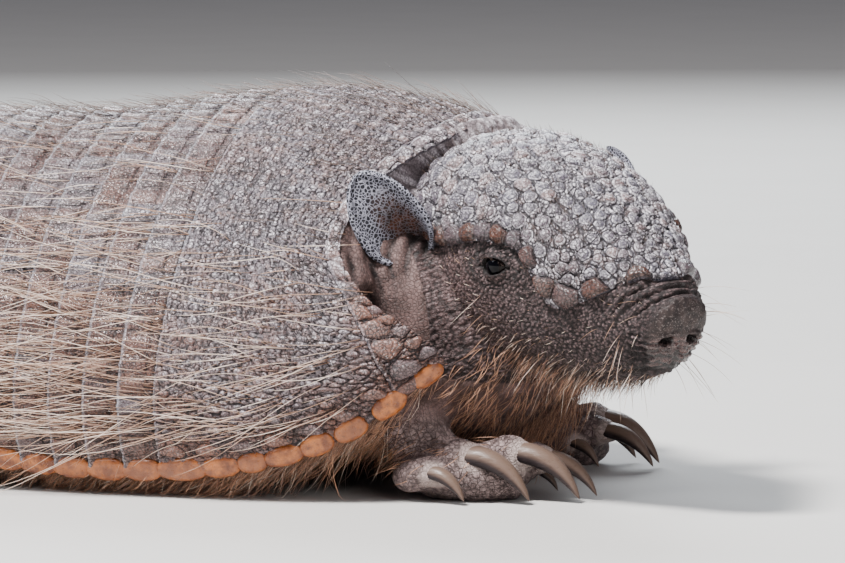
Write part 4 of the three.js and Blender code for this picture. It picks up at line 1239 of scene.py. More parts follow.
def head_shield(cell):
    """The plate over the head: irregular scutes, large at the rear and along the brows."""
    rng = np.random.default_rng(73)
    rows, columns = int(104 / cell), int(78 / cell)
    t = (1 - np.cos(np.pi * np.linspace(0, 1, rows))) / 2
    t = 0.35 * t + 0.65 * np.linspace(0, 1, rows)
    x = (BROW_X[0] + (BROW_X[-1] - BROW_X[0]) * t)[:, None]
    v = np.linspace(-1, 1, columns)[None]
    reach = BROW_AT(x)
    points = head_point(x, v * reach, SHIELD_LIFT)
    flat = points.reshape(-1, 3)
    # Middles: along the brow edges, along the rear edge, then the field between.
    seeds, sizes, brow = [], [], []

    def place(px, pv, size, edge=0.0):
        seeds.append(head_point(px, pv * BROW_AT(px), SHIELD_LIFT))
        sizes.append(size)
        brow.append(edge)

    def half_width(px):
        return float(HEAD_WIDTH_AT(px)) * math.radians(float(BROW_AT(px)))

    edge_x = BROW_SCUTES_X[0]
    while edge_x < BROW_SCUTES_X[-1]:
        step = np.interp(edge_x, BROW_SCUTES_X, BROW_SCUTES_LENGTH)
        px = edge_x + step / 2
        for s in (-1.0, 1.0):
            place(px, s * (1 - 2.6 / max(half_width(px), 6)), step / 2 * 1.1, 1.0)
        edge_x += step
    for s in np.linspace(-0.86, 0.86, 9):
        place(-9.5, s, 3.6, 0.35)
    row_x = -3.2
    row = 0
    while row_x < 84:
        pitch = np.interp(row_x, [0, 25, 45, 65, 84], [6.6, 5.9, 5.0, 4.0, 3.3])
        width = half_width(row_x) * 2 - 9.5
        number = max(1, int(width / (pitch * 1.02)))
        for c in range(number):
            share = (c + 0.5 + 0.5 * (row % 2 - 0.5)) / number - 0.5
            pv = (share * width + rng.normal(0, pitch * 0.16)) / half_width(row_x)
            place(row_x + rng.normal(0, pitch * 0.16), pv, pitch / 2 * rng.uniform(0.8, 1.15))
        row_x += pitch * 0.9
        row += 1
    seeds, sizes, brow = np.array(seeds), np.array(sizes), np.array(brow)
    first, border = power_cells(flat, seeds, sizes * 0.6)
    tone = rng.random(len(seeds))[first]
    phase = (rng.random(len(seeds)) * 2 * np.pi)[first]
    size, edge = sizes[first], brow[first]
    local = flat - seeds[first]
    angle = np.arctan2(local[:, 1], local[:, 0])
    share = 0.84 + 0.12 * edge
    ratio = np.sqrt((local[:, 0] / (size * share * 1.1)) ** 2
                    + (local[:, 1] ** 2 + local[:, 2] ** 2) / (size * share) ** 2)
    ratio = ratio * (1 + 0.10 * np.sin(3 * angle + phase))
    around = (v * reach * np.radians(1) * HEAD_WIDTH_AT(x)).ravel()
    unrolled = np.stack([np.broadcast_to(x, points.shape[:2]).ravel(), around], -1)
    gap, dome, own = knobs(unrolled, length=1.75, width=1.5, seed=75)
    middle = ratio < 1
    rim = np.minimum(np.abs(ratio - 1) * size * share, border)
    fine = np.where(middle, rim, np.minimum(gap * 1.4, rim))
    # One side of each scute keeps a brighter crown: painted highlight on the side that faces the light.
    lit_side = 0.55 + 0.45 * np.sin(angle - 2.2 + 0.5 * np.sin(phase))
    top = np.where(middle, np.clip(1.3 * (1 - ratio**2), 0, 1), 0.45 * dome)
    slope = (0.10 + 0.10 * np.sin(phase)) * local[:, 0] + 0.12 * np.cos(phase) * local[:, 1]
    height = 0.5 * ease(0.0, 0.7, border) + 0.45 * ease(0, 0.55, fine) + 0.45 * top
    height += 0.25 * (np.where(middle, tone, own) - 0.5) * (1 - edge) + 0.9 * edge * top
    height -= slope * middle * (1 - edge)
    top = top * (1 - 0.75 * edge) * (0.25 + 0.75 * lit_side)
    shape = points.shape[:2]
    outline = (1 - np.abs(v)) * HEAD_WIDTH_AT(x) * np.radians(reach)
    outline = np.minimum(outline, np.abs(x - BROW_X[0]) + 0 * v)
    height = height.reshape(shape) - 0.65 - 0.9 * (1 - ease(0, 1.3, outline))
    height += 0.08 * grain(points, 0.8, 77)
    warm = np.clip(0.04 + 0.95 * edge.reshape(shape) * middle.reshape(shape)
                   + 0.3 * grain(points, 7.0, 79)
                   + 0.35 * ease(26, 50, x) * ease(0.35, 0.85, np.abs(v)), 0, 1)
    masks = {"border": border.reshape(shape), "fine": fine.reshape(shape),
             "tone": np.where(middle, tone, own).reshape(shape), "warm": warm,
             "crown": top.reshape(shape), "edge": np.zeros(shape)}
    mesh_points, faces, out = plate_mesh(points, height, masks)
    return head_to_body(mesh_points), faces, out


def margin_scutes():
    """The row of large rounded scutes along both hems, one lens each."""
    parts, tones = [], []
    rng = np.random.default_rng(83)
    stations = []
    x = PELVIC_REAR_X + 3.0
    while x < PELVIC_FRONT_X - 4:
        stations.append((x + 4.2, 4.9, 0.0))
        x += 8.6
    for i in range(BAND_COUNT):
        stations.append((PELVIC_FRONT_X + (i + 0.45) * BAND_PITCH, 6.2, 0.25))
    x = SCAPULAR_REAR_X - 0.5
    for length in (13.5, 9.5, 8.2, 9.4, 8.4, 9.2):
        stations.append((x + length / 2, length / 2 + 0.6, 0.12))
        x += length
    for length in (10.5, 8.2, 6.6, 6.6):
        stations.append((x + length / 2, length / 2 + 0.3, 0.0))
        x += length
    u = np.linspace(0, np.pi, 13)[:, None]
    w = np.linspace(0, 2 * np.pi, 20, endpoint=False)[None]
    for station, half, point in stations:
        if station > MARGIN_FRONT_X:
            continue
        for side in (-1.0, 1.0):
            centre = shell_point(station, side * MARGIN_AT, MARGIN_LIFT)
            ahead = shell_point(station + 1.5, side * MARGIN_AT, MARGIN_LIFT)
            inner = shell_point(station, side * 0.93, MARGIN_LIFT)
            along = unit(ahead - centre)
            down = unit(centre - inner)
            down = unit(down - along * down.dot(along))
            out = np.cross(along, down) * side
            out = out if out[1] * side > 0 else -out
            c, s = np.cos(u), np.sin(u)
            shape = signed_power(c, 0.8)
            thick = s**0.75
            narrow = 1 - point * ease(0.1, -1.0, c)
            tall = 2.75 + 0.12 * half + rng.normal(0, 0.1)
            a = shape * half * (1 + 0.06 * rng.normal())
            b = thick * tall * narrow * signed_power(np.cos(w), 0.85)
            d = thick * 1.75 * signed_power(np.sin(w), 0.9)
            lens = (centre + along * (a * np.ones_like(w))[..., None] + down * (b - 0.5)[..., None]
                    + out * (d + 0.15)[..., None])
            piece, faces = closed_loft(lens[:, ::-1] if side < 0 else lens)
            parts.append((piece, outward(piece, faces)))
            tones.append(np.full(len(piece), rng.random()))
    return *joined(parts), np.concatenate(tones)


# ---------------- claws and eyes


def claw_mesh(kind, side, index):
    """A curved claw: flat below, ridged along its back, narrowing to a blunt tip."""
    toe = TOES[kind][index]
    length, width = toe[1], toe[2]
    rotation, root = claw_matrix(toe, side)
    place = np.array([*LEG_PLACES[kind, side], 0.0])
    s = np.r_[np.linspace(-2.2, length * 0.9, 26), length * np.array([0.94, 0.97, 0.99, 1.0])]
    along = np.clip(s / length, 0, 1)
    half = width / 2 * 1.12 * (1 - 0.86 * along**2.1)
    tip = np.sqrt(np.clip(1 - ((along - 0.9) / 0.1).clip(0, 0.985) ** 2, 0, 1))
    half = half * tip
    arch = 4 * CLAW_ARCH * length * along * (1 - along)
    turn = np.linspace(0, 2 * np.pi, CLAW_SIDES, endpoint=False)
    y = signed_power(np.cos(turn), 0.85)
    z = np.where(np.sin(turn) > 0, signed_power(np.sin(turn), 1.05) * 0.95,
                 signed_power(np.sin(turn), 0.6) * 0.55)
    rings = np.stack([np.broadcast_to(s[:, None], (len(s), CLAW_SIDES)) - 0.12 * half[:, None] * z,
                      half[:, None] * y, arch[:, None] + half[:, None] * z], -1)
    points, triangles = closed_loft(rings[:, ::-1])
    mask = np.r_[np.repeat(along, CLAW_SIDES), 0, 1]
    # The rings run the other way round, so that what is low here lies on the claw's back.
    # back marks the claw's upper side, which the claw's material paints paler as painted highlight.
    back = np.r_[np.tile(ease(0.25, -0.3, z), len(s)), 0, 0]
    points = points @ rotation.T + root + place
    points[:, 2] = np.maximum(points[:, 2], 0.05)
    return points, outward(points, triangles), {"along": mask, "back": back}


def eye_mesh(side):
    """An eyeball with a slightly raised cornea."""
    u = np.linspace(0, np.pi, 33)[:, None]
    w = np.linspace(0, 2 * np.pi, 48, endpoint=False)[None]
    ball = np.stack([np.sin(u) * np.cos(w), np.sin(u) * np.sin(w), np.cos(u) * np.ones_like(w)], -1)
    centre = np.array(EYE_PLACE) * side_scale(side)
    points, triangles = closed_loft(ball * (EYE_RADIUS - 0.08))
    out = eye_axes()[2] * side_scale(side)
    towards = unit(points) @ out
    points = points * (1 + 0.045 * ease(0.75, 1.0, towards))[:, None] + centre
    return head_to_body(points), outward(points, triangles), {"pupil": ease(0.8, 0.86, towards)}


# ---------------- the coat

COAT_REACH_Y = 94.0  # no hair stands further out sideways than this
# Hairs of the full coat: behind each band, on each half of the two shields, then in all or,
# for the hem, on each side.
HAIRS = {"band": 75, "scapular": 170, "pelvic": 560, "bristles": 5200, "ridge": 3400, "hem": 4800,
         "throat": 5200, "belly": 2400, "legs": 2600, "tail": 1700, "face": 4200, "shield": 1700}
LASHES = 26
# Whiskers: stations, degrees from the crown, lengths, number, lean ahead and lean upwards.
WHISKERS = (((74, 89), (55, 150), (8, 16), 34, 0.75, -0.1),
            ((40, 72), (128, 178), (8, 17), 20, -0.35, -0.7),
            ((14, 40), (100, 150), (8, 18), 22, -0.35, -0.7))


def unwrap(points):
    """Places on a flat map of the skin: the body along x and round it, the head above it."""
    p = body_to_head(points)
    turn = np.arctan2(p[:, 1], p[:, 2]) / (2 * np.pi) + 0.5
    head = np.stack([0.02 + 0.96 * (p[:, 0] + 40) / 150, 0.66 + 0.32 * turn], 1)
    round_body = np.arctan2(points[:, 1], points[:, 2] - 30) / (2 * np.pi) + 0.5
    body = np.stack([0.02 + 0.96 * (points[:, 0] + 115) / 430, 0.02 + 0.6 * round_body], 1)
    on_head = (p[:, 0] > -12) & (np.abs(p[:, 1]) < 36) & (np.abs(p[:, 2]) < 34)
    return np.where(on_head[:, None], head, body)


def hair_paths(roots, start, end, length, count, rng, curl=0.12, floor=0.35):
    """Curved paths from the roots: each sets off along start and ends along end."""
    n = len(roots)
    share = np.linspace(0, 1, count)[1:][None, :, None]
    heading = unit(start)[:, None] * (1 - share) + unit(end)[:, None] * share
    side = unit(np.cross(unit(start), rng.normal(size=(n, 3))))
    phase = rng.uniform(0, 2 * np.pi, (n, 1, 1))
    heading = unit(heading) + curl * side[:, None] * np.sin(phase + share * rng.uniform(1.5, 4, (n, 1, 1)))
    steps = unit(heading) * (np.asarray(length) * np.ones(n))[:, None, None] / (count - 1)
    paths = np.concatenate([roots[:, None], roots[:, None] + np.cumsum(steps, 1)], 1)
    paths[..., 1] = np.clip(paths[..., 1], -COAT_REACH_Y, COAT_REACH_Y)
    paths[..., 2] = np.maximum(paths[..., 2], floor)
    return paths


def hair_tubes(paths, radius, rng):
    """Thin three-sided tapering tubes along the paths, each a closed body."""
    n, m, _ = paths.shape
    along = unit(np.gradient(paths, axis=1))
    seed = unit(rng.normal(size=(n, 1, 3)))
    across = unit(np.cross(along, seed + 1e-3))
    other = np.cross(along, across)
    taper = (1 - 0.75 * np.linspace(0, 1, m)[:-1] ** 1.5)[None, :, None]
    size = (np.asarray(radius) * np.ones(n))[:, None, None] * taper
    rings = [paths[:, :-1] + size * (math.cos(a) * across[:, :-1] + math.sin(a) * other[:, :-1])
             for a in (0, 2 * math.pi / 3, 4 * math.pi / 3)]
    rings = np.stack(rings, 2).reshape(n, -1, 3)
    points = np.concatenate([rings, paths[:, -1:]], 1)
    per = points.shape[1]
    one = [(0, 2, 1)]
    for k in range(m - 2):
        for a in range(3):
            b = (a + 1) % 3
            low, high = 3 * k, 3 * k + 3
            one += [(low + a, low + b, high + b), (low + a, high + b, high + a)]
    last = 3 * (m - 2)
    one += [(last + a, last + (a + 1) % 3, per - 1) for a in range(3)]
    faces = (np.array(one)[None] + per * np.arange(n)[:, None, None]).reshape(-1, 3)
    along_share = np.r_[np.repeat(np.linspace(0, 1, m)[:-1], 3), 1.0]
    patch = np.stack([np.r_[np.tile([-0.5, 0.0, 0.5], m - 1), 0.0], along_share - 0.5], 1) * 0.003
    uv = unwrap(paths[:, 0])[:, None] + patch[None]
    tone = np.repeat(rng.random(n), per)
    return (points.reshape(-1, 3), faces, {"along": np.tile(along_share, n), "tone": tone},
            uv.reshape(-1, 2))


def hair_piece(name, paths, radius, rng, material):
    """Hairs along the paths as one piece of the coat."""
    points, faces, masks, uv = hair_tubes(paths, radius, rng)
    piece = make_piece(name, points, faces, masks, material, uv=uv)
    return piece


def spots_on(points, triangles, weight, count, rng):
    """Random places on a surface with their normals; weight is a share for each point."""
    a, b, c = (points[triangles[:, k]] for k in range(3))
    cross = np.cross(b - a, c - a)
    size = lengths(cross) * weight[triangles].mean(1)
    pick = rng.choice(len(triangles), count, p=size / size.sum())
    r, s = rng.random((2, count, 1))
    flip = (r + s) > 1
    r, s = np.where(flip, 1 - r, r), np.where(flip, 1 - s, s)
    places = a[pick] * (1 - r - s) + b[pick] * r + c[pick] * s
    return places, unit(cross[pick])


def shell_frame(x, v, lift):
    """Points on the shell with the directions rearward, outwards and down its face."""
    centre = shell_point(x, v, lift)
    rear = unit(shell_point(x - 1, v, lift) - centre)
    down = unit((shell_point(x, v + 0.01, lift) - centre) * np.where(v < 0, -1.0, 1.0)[:, None])
    out = np.cross(rear, down)
    out *= np.sign((out * (centre - [150.0, 0.0, 20.0])).sum(1))[:, None]
    return centre, rear, down, out


def over_shell(x, v, length, count, rng, lift=0.3, rise=0.2, drop=0.1, spread=0.2, curl=0.1):
    """Paths of hairs that grow from the shell and sweep back over it."""
    root, rear, down, out = shell_frame(x, v, lift)
    n = len(x)
    start = rear + out * (rise + 0.08 * rng.normal(size=(n, 1))) + down * spread * rng.normal(size=(n, 1))
    end = rear + out * (0.03 + 0.5 * rise * rng.normal(size=(n, 1))) + down * (
        drop + spread * rng.normal(size=(n, 1)))
    return hair_paths(root, start, end, length, count, rng, curl)


def coat_shell(settings, material_pale, material_dark):
    """Long pale hairs from behind the bands and short dark bristles all over the shell."""
    rng = np.random.default_rng(301)
    thick = settings.thickness / MM
    amount = settings.density
    for name, side in SIDES:
        paths = []
        for i in range(BAND_COUNT + 1):
            edge = SCAPULAR_REAR_X - i * BAND_PITCH
            n = int(HAIRS["band"] * amount)
            low = rng.random(n) ** 0.42
            v = side * (0.1 + 0.8 * low)
            length = rng.uniform(22, 66, n) * (0.5 + 0.5 * low) * settings.length
            x = edge + 0.4 + rng.uniform(0, 1.2, n)
            paths.append(over_shell(x, v, length, 9, rng, lift=0.2, rise=0.15, drop=0.04, spread=0.26,
                                    curl=0.2))
        n = int(HAIRS["scapular"] * amount)
        x = rng.uniform(SCAPULAR_REAR_X + 2, 255, n)
        low = rng.random(n) ** 0.6
        v = side * (0.4 + 0.5 * low)
        paths.append(over_shell(x, v, rng.uniform(10, 38, n) * settings.length, 9, rng, rise=0.16,
                                drop=0.02, spread=0.26, curl=0.16))
        n = int(HAIRS["pelvic"] * amount)
        x = rng.uniform(PELVIC_REAR_X + 5, PELVIC_FRONT_X - 2, n)
        v = side * rng.uniform(0.05, 0.97, n)
        paths.append(over_shell(x, v, rng.uniform(18, 46, n) * settings.length, 9, rng, rise=0.2,
                                drop=0.15, spread=0.2))
        paths = np.concatenate(paths)
        hair_piece(f"coat_flank_{name}", paths, rng.uniform(0.09, 0.155, len(paths)) * thick, rng,
                   material_pale)
    n = int(HAIRS["bristles"] * amount)
    x = rng.uniform(60, 258, n)
    v = rng.uniform(-0.97, 0.97, n)
    keep = x < edge_curve(SHIELD_FRONT_X)(v) + 6
    x, v = x[keep], v[keep]
    length = rng.uniform(2.5, 7.0, len(x)) * settings.length
    paths = over_shell(x, v, length, 4, rng, lift=-0.1, rise=0.3, drop=0.05, spread=0.22, curl=0.05)
    hair_piece("coat_bristles", paths, 0.10 * thick, rng, material_dark)


def coat_ridge(settings, material):
    """Fine brown hairs that stand off the back's outline."""
    rng = np.random.default_rng(303)
    n = int(HAIRS["ridge"] * settings.density)
    x = rng.uniform(50, 262, n)
    v = rng.normal(0.1, 0.3, n).clip(-0.75, 0.9)
    keep = x < edge_curve(SHIELD_FRONT_X)(v) + 8
    x, v = x[keep], v[keep]
    length = rng.uniform(5, 17, len(x)) * settings.length
    paths = over_shell(x, v, length, 6, rng, rise=0.42, drop=0.05, spread=0.3, curl=0.14)
    hair_piece("coat_ridge", paths, 0.09 * settings.thickness / MM, rng, material)


def coat_hem(settings, material_brown, material_pale):
    """The fringe that hangs from under both hems."""
    rng = np.random.default_rng(305)
    thick = settings.thickness / MM
    for name, side in SIDES:
        n = int(HAIRS["hem"] * settings.density)
        x = rng.uniform(60, 268, n)
        tuck = rng.uniform(0.0, 1.0, n)
        root = shell_point(x, side * 0.97, -3.4)
        root[:, 1] -= side * (1.0 + 12.0 * tuck)
        root[:, 2] += 2.5 - 3.0 * tuck
        reach = np.interp(x, [60, 100, 150, 230, 268], [13, 11, 12, 20, 20])
        length = reach * rng.uniform(0.5, 1.2, n) * settings.length
        start = np.stack([rng.normal(-0.5, 0.3, n), side * rng.uniform(-0.15, 0.2, n),
                          rng.uniform(-1.0, -0.5, n)], 1)
        end = np.stack([rng.normal(-0.8, 0.35, n), side * rng.normal(0.0, 0.22, n),
                        rng.uniform(-0.8, -0.2, n)], 1)
        paths = hair_paths(root, start, end, length, 6, rng, 0.14, floor=0.3)
        split = n * 5 // 6  # the last sixth is pale
        hair_piece(f"coat_hem_{name}", paths[:split], rng.uniform(0.07, 0.12, split) * thick, rng,
                   material_brown)
        hair_piece(f"coat_hem_pale_{name}", paths[split:], rng.uniform(0.07, 0.11, n - split) * thick,
                   rng, material_pale)


def coat_under(settings, skin, material):
    """Throat, chest, belly and the sides of the neck."""
    points, triangles = skin
    rng = np.random.default_rng(307)
    x, y, z = body_to_head(points).T
    chin = ease(2, 12, x) * ease(70, 54, x) * ease(-17, -24, z) * (np.abs(y) < 27)
    neck = ease(236, 248, points[:, 0]) * ease(62, 30, points[:, 2]) * (x < 12)
    belly = ease(45, 60, points[:, 0]) * ease(252, 236, points[:, 0]) * ease(22, 12, points[:, 2])
    apart = ~near_feet(points, 18)
    for name, weight, reach, steps in (("throat", (0.9 * neck + 0.5 * chin) * apart, (6, 21), 6),
                                       ("belly", belly * apart, (7, 15), 5)):
        n = int(HAIRS[name] * settings.density)
        root, normal = spots_on(points, triangles, weight, n, rng)
        length = rng.uniform(*reach, n) * settings.length
        length = np.minimum(length, 3 + root[:, 2] * 1.1)
        length *= 1 - 0.55 * (body_to_head(root)[:, 0] > 22)
        start = 0.5 * normal + np.stack([rng.normal(-0.55, 0.35, n), rng.normal(0, 0.3, n),
                                         rng.normal(-0.6, 0.2, n)], 1)
        end = np.stack([rng.normal(-0.6, 0.4, n), rng.normal(-0.1, 0.35, n),
                        rng.normal(-0.9, 0.2, n)], 1)
        paths = hair_paths(root - 0.3 * normal, start, end, length, steps, rng, 0.16, floor=0.3)
        hair_piece(f"coat_{name}", paths, rng.uniform(0.065, 0.11, n) * settings.thickness / MM, rng,
                   material)


def coat_limbs(settings, skin, material):
    """Legs and tail: hairs that lie along them."""
    points, triangles = skin
    rng = np.random.default_rng(309)
    legs = np.zeros(len(points))
    for x, y in LEG_PLACES.values():
        away = np.hypot(points[:, 0] - x + 6, (points[:, 1] - y) * 0.8)
        height = ease(6, 14, points[:, 2]) * ease(46, 34, points[:, 2])
        legs = np.maximum(legs, ease(30, 20, away) * height)
    _, _, tail_radius, away = tail_coordinates(points)
    tail = (away < tail_radius + 2.5) * ease(30, 22, points[:, 0])
    for name, weight, reach, fall in (("legs", legs, (4, 11), -0.55), ("tail", tail, (3, 9), 0.05)):
        n = int(HAIRS[name] * settings.density)
        root, normal = spots_on(points, triangles, weight, n, rng)
        rear = np.array([-0.8, 0.0, fall])
        start = 0.45 * normal + rear + 0.25 * rng.normal(size=(n, 3))
        end = rear + 0.1 * normal + 0.25 * rng.normal(size=(n, 3))
        length = rng.uniform(*reach, n) * settings.length
        paths = hair_paths(root - 0.2 * normal, start, end, length, 4, rng, 0.1, floor=0.25)
        hair_piece(f"coat_{name}", paths, 0.1 * settings.thickness / MM, rng, material)


def face_hairs(settings, skin, rng, material_dark, material_pale):
    """Fine hairs of the face, longer low on the cheeks and under the chin."""
    points, triangles = skin
    thick = settings.thickness / MM
    p = body_to_head(points)
    x, y, z = p.T
    bare = (head_turn(p) > BROW_AT(x) + 3) & (eye_distance(p) > 7.5)
    face = ease(4, 12, x) * ease(86, 76, x) * bare * (np.abs(y) < 34) * (z > HEAD_BOTTOM_AT(x) - 3)
    n = int(HAIRS["face"] * settings.density)
    root, normal = spots_on(points, triangles, face * (0.4 + 0.6 * (z < -8)), n, rng)
    low = np.clip(-(body_to_head(root)[:, 2] + 6) / 18, 0, 1)[:, None]
    rear = HEAD_MATRIX @ np.array([-1.0, 0, 0])
    sag = np.array([0.0, 0.0, -1.0])
    start = 0.35 * normal + rear + 0.9 * low * sag + 0.25 * rng.normal(size=(n, 3))
    end = 0.1 * normal + rear + 1.2 * low * sag + 0.25 * rng.normal(size=(n, 3))
    length = (rng.uniform(1.6, 3.6, n) + 6.5 * low[:, 0] ** 2 * rng.random(n)) * settings.length
    paths = hair_paths(root - 0.15 * normal, start, end, length, 4, rng, 0.08)
    pale = rng.random(n) < 0.25
    hair_piece("coat_face_dark", paths[~pale], 0.07 * thick, rng, material_dark)
    hair_piece("coat_face_pale", paths[pale], 0.07 * thick, rng, material_pale)


def shield_bristles(settings, rng, material):
    """Short bristles between the scutes of the head shield."""
    n = int(HAIRS["shield"] * settings.density)
    x = rng.uniform(-9, 80, n)
    v = rng.uniform(-0.97, 0.97, n)
    turn = v * BROW_AT(x)
    root = head_point(x, turn, 0.5)
    out = unit(head_point(x, turn, 1.5) - root)
    start = head_directions(0.5 * out + np.array([-1.0, 0, 0.1]) + 0.2 * rng.normal(size=(n, 3)))
    paths = hair_paths(head_to_body(root), start, start, rng.uniform(2.0, 5.0, n), 3, rng, 0.05)
    hair_piece("coat_shield", paths, 0.085 * (settings.thickness / MM), rng, material)


def whiskers(settings, rng, material):
    """Long bristles round the nose, under the chin and on the cheeks."""
    roots, starts, lengths_mm = [], [], []
    for stations, turns, reach, n, ahead, upward in WHISKERS:
        x = rng.uniform(*stations, n)
        turn = rng.uniform(*turns, n) * rng.choice([-1, 1], n)
        root = head_point(x, turn, 0.0)
        out = unit(head_point(x, turn, 1.0) - root)
        roots.append(root)
        starts.append(out + np.array([ahead, 0, upward]) + 0.2 * rng.normal(size=(n, 3)))
        lengths_mm.append(rng.uniform(*reach, n))
    start = head_directions(np.concatenate(starts))
    paths = hair_paths(head_to_body(np.concatenate(roots)), start, start + [0, 0, -0.5],
                       np.concatenate(lengths_mm), 7, rng, 0.08)
    hair_piece("coat_whiskers", paths, 0.08 * (settings.thickness / MM), rng, material)


def lashes(settings, rng, material):
    """Short lashes that stand out over the upper lids."""
    forward, up, out = eye_axes()
    for name, side in SIDES:
        a = rng.uniform(-3.0, 3.2, LASHES)
        root = (np.array(EYE_PLACE) + forward * a[:, None]
                + up * (2.3 * np.sqrt(np.clip(1 - (a / 3.6) ** 2, 0, 1)) - 0.2)[:, None]
                + out * (4.4 - 0.09 * a**2)[:, None]) * side_scale(side)
        start = (out + 0.55 * up + forward * (0.5 + 0.15 * a)[:, None]
                 + 0.1 * rng.normal(size=(LASHES, 3))) * side_scale(side)
        start = head_directions(start)
        paths = hair_paths(head_to_body(root), start, start + [0, 0, -0.5],
                           rng.uniform(2.5, 4.5, LASHES), 5, rng, 0.03)
        hair_piece(f"coat_lashes_{name}", paths, 0.07 * (settings.thickness / MM), rng, material)


def coat_head(settings, skin, material_dark, material_pale):
    """The head's hairs, in the order of their random draws."""
    rng = np.random.default_rng(311)
    face_hairs(settings, skin, rng, material_dark, material_pale)
    shield_bristles(settings, rng, material_dark)
    whiskers(settings, rng, material_pale)
    lashes(settings, rng, material_dark)


def head_directions(vectors):
    """Directions in the head's axes to the body's."""
    return np.asarray(vectors, float) @ HEAD_MATRIX.T


# ---------------- shader node helpers


class Graph:
    """Short ways to add nodes to a material's or a group's tree."""

    def __init__(self, tree):
        self.tree = tree

    def add(self, kind, settings=None, **inputs):
        """Adds a node; underscores in the inputs' names stand for spaces."""
        node = self.tree.nodes.new("ShaderNode" + kind)
        for key, value in (settings or {}).items():
            setattr(node, key, value)
        for key, value in inputs.items():
            self.put(node.inputs[key.replace("_", " ")], value)
        return node

    def put(self, socket, value):
        """Joins a socket to a node's output, or sets its value."""
        if isinstance(value, bpy.types.NodeSocket):
            self.tree.links.new(value, socket)
        elif isinstance(value, tuple) and socket.type == "RGBA":
            socket.default_value = (*value, 1.0)
        else:
            socket.default_value = value

    def math(self, operation, a, b=0.0, clamp=False):
        node = self.add("Math", {"operation": operation, "use_clamp": clamp})
        self.put(node.inputs[0], a)
        self.put(node.inputs[1], b)
        return node.outputs[0]

    def times(self, *factors, clamp=False):
        """The product of two or more values."""
        product, *rest = factors
        for factor in rest:
            product = self.math("MULTIPLY", product, factor, clamp)
        return product

    def plus(self, *terms):
        """The sum of two or more values."""
        total, *rest = terms
        for term in rest:
            total = self.math("ADD", total, term)
        return total

    def minus(self, a, b):
        return self.math("SUBTRACT", a, b)

    def larger(self, a, b, clamp=False):
        return self.math("MAXIMUM", a, b, clamp)

    def mix(self, share, a, b):
        """Colour a at share 0 and b at share 1."""
        node = self.add("Mix", {"data_type": "RGBA", "clamp_factor": True})
        self.put(node.inputs[0], share)
        self.put(node.inputs[6], a)
        self.put(node.inputs[7], b)
        return node.outputs[2]

    def layers(self, colour, *coats):
        """A colour with others laid over it in turn, each by its share."""
        for share, over in coats:
            colour = self.mix(share, colour, over)
        return colour

    def span(self, value, low, high, out_low=0.0, out_high=1.0):
        """A smooth step from out_low at low to out_high at high."""
        node = self.add("MapRange", {"interpolation_type": "SMOOTHSTEP"})
        for socket, number in zip(node.inputs, (value, low, high, out_low, out_high)):
            self.put(socket, number)
        return node.outputs[0]

    def attribute(self, name):
        """A mask of the mesh."""
        return self.add("Attribute", {"attribute_name": name}).outputs["Fac"]

    def place(self):
        return self.add("TexCoord").outputs["Object"]

    def noise(self, size_mm, detail=3.0, roughness=0.55, stretch=None):
        """Smooth noise from 0 to 1 with spots of about size_mm."""
        place = self.place()
        if stretch:
            mapping = self.add("Mapping", Vector=place)
            mapping.inputs["Scale"].default_value = stretch
            place = mapping.outputs[0]
        node = self.add("TexNoise", Vector=place, Scale=1.0 / (size_mm * MM), Detail=detail,
                        Roughness=roughness)
        return node.outputs["Fac"]

    def cells(self, size_mm, warp):
        """Distance to the edges of a net of cells, whose lines wander by warp millimetres."""
        place = self.place()
        wobble = self.add("TexNoise", Vector=place, Scale=400.0, Detail=2.0)
        offset = self.add("VectorMath", {"operation": "MULTIPLY_ADD"})
        self.put(offset.inputs[0], wobble.outputs["Color"])
        offset.inputs[1].default_value = (warp * MM,) * 3
        self.put(offset.inputs[2], place)
        node = self.add("TexVoronoi", {"feature": "DISTANCE_TO_EDGE"}, Vector=offset.outputs[0],
                        Scale=1.0 / (size_mm * MM))
        return node.outputs["Distance"]


PLATE_MASKS = ("border", "fine", "tone", "warm", "crown", "edge")
SKIN_MASKS = ("crease", "scale", "nose", "wet", "cheek", "foot", "cuff", "tail", "ear", "inner",
              "face", "nape")
GROUP_OUTPUTS = {"Color": (0, 0, 0), "Roughness": 0.0, "Height": 0.0}


def new_group(name, inputs):
    """A shader node group with float or colour inputs, and its Graph, inputs and outputs."""
    tree = bpy.data.node_groups.new(name, "ShaderNodeTree")
    for way, sockets in (("INPUT", inputs), ("OUTPUT", GROUP_OUTPUTS)):
        for label, value in sockets.items():
            kind = "NodeSocketColor" if isinstance(value, tuple) else "NodeSocketFloat"
            socket = tree.interface.new_socket(name=label, in_out=way, socket_type=kind)
            if way == "INPUT":
                socket.default_value = (*value, 1.0) if isinstance(value, tuple) else value
    source = tree.nodes.new("NodeGroupInput")
    sink = tree.nodes.new("NodeGroupOutput")
    return tree, Graph(tree), source.outputs, sink.inputs


def new_material(name):
    """A material with nodes, its Graph and its shader."""
    material = bpy.data.materials.new(name)
    material.use_nodes = True
    graph = Graph(material.node_tree)
    return material, graph, material.node_tree.nodes["Principled BSDF"]


def dress(graph, shader, colour, roughness, height, distance_mm, **others):
    """Joins colour, roughness and a bump of the given depth to the shader, and sets its others."""
    bump = graph.add("Bump", Strength=1.0, Distance=distance_mm * MM, Height=height)
    inputs = {"Base Color": colour, "Roughness": roughness, "Normal": bump.outputs[0], **others}
    for key, value in inputs.items():
        graph.put(shader.inputs[key.replace("_", " ")], value)


def dress_with_group(graph, tree, shader, distance_mm, inputs, **others):
    """Places a group in a material, feeds its inputs and dresses the shader with what it gives."""
    node = graph.tree.nodes.new("ShaderNodeGroup")
    node.node_tree = tree
    for key, value in inputs.items():
        graph.put(node.inputs[key], value)
    dress(graph, shader, *(node.outputs[key] for key in GROUP_OUTPUTS), distance_mm, **others)


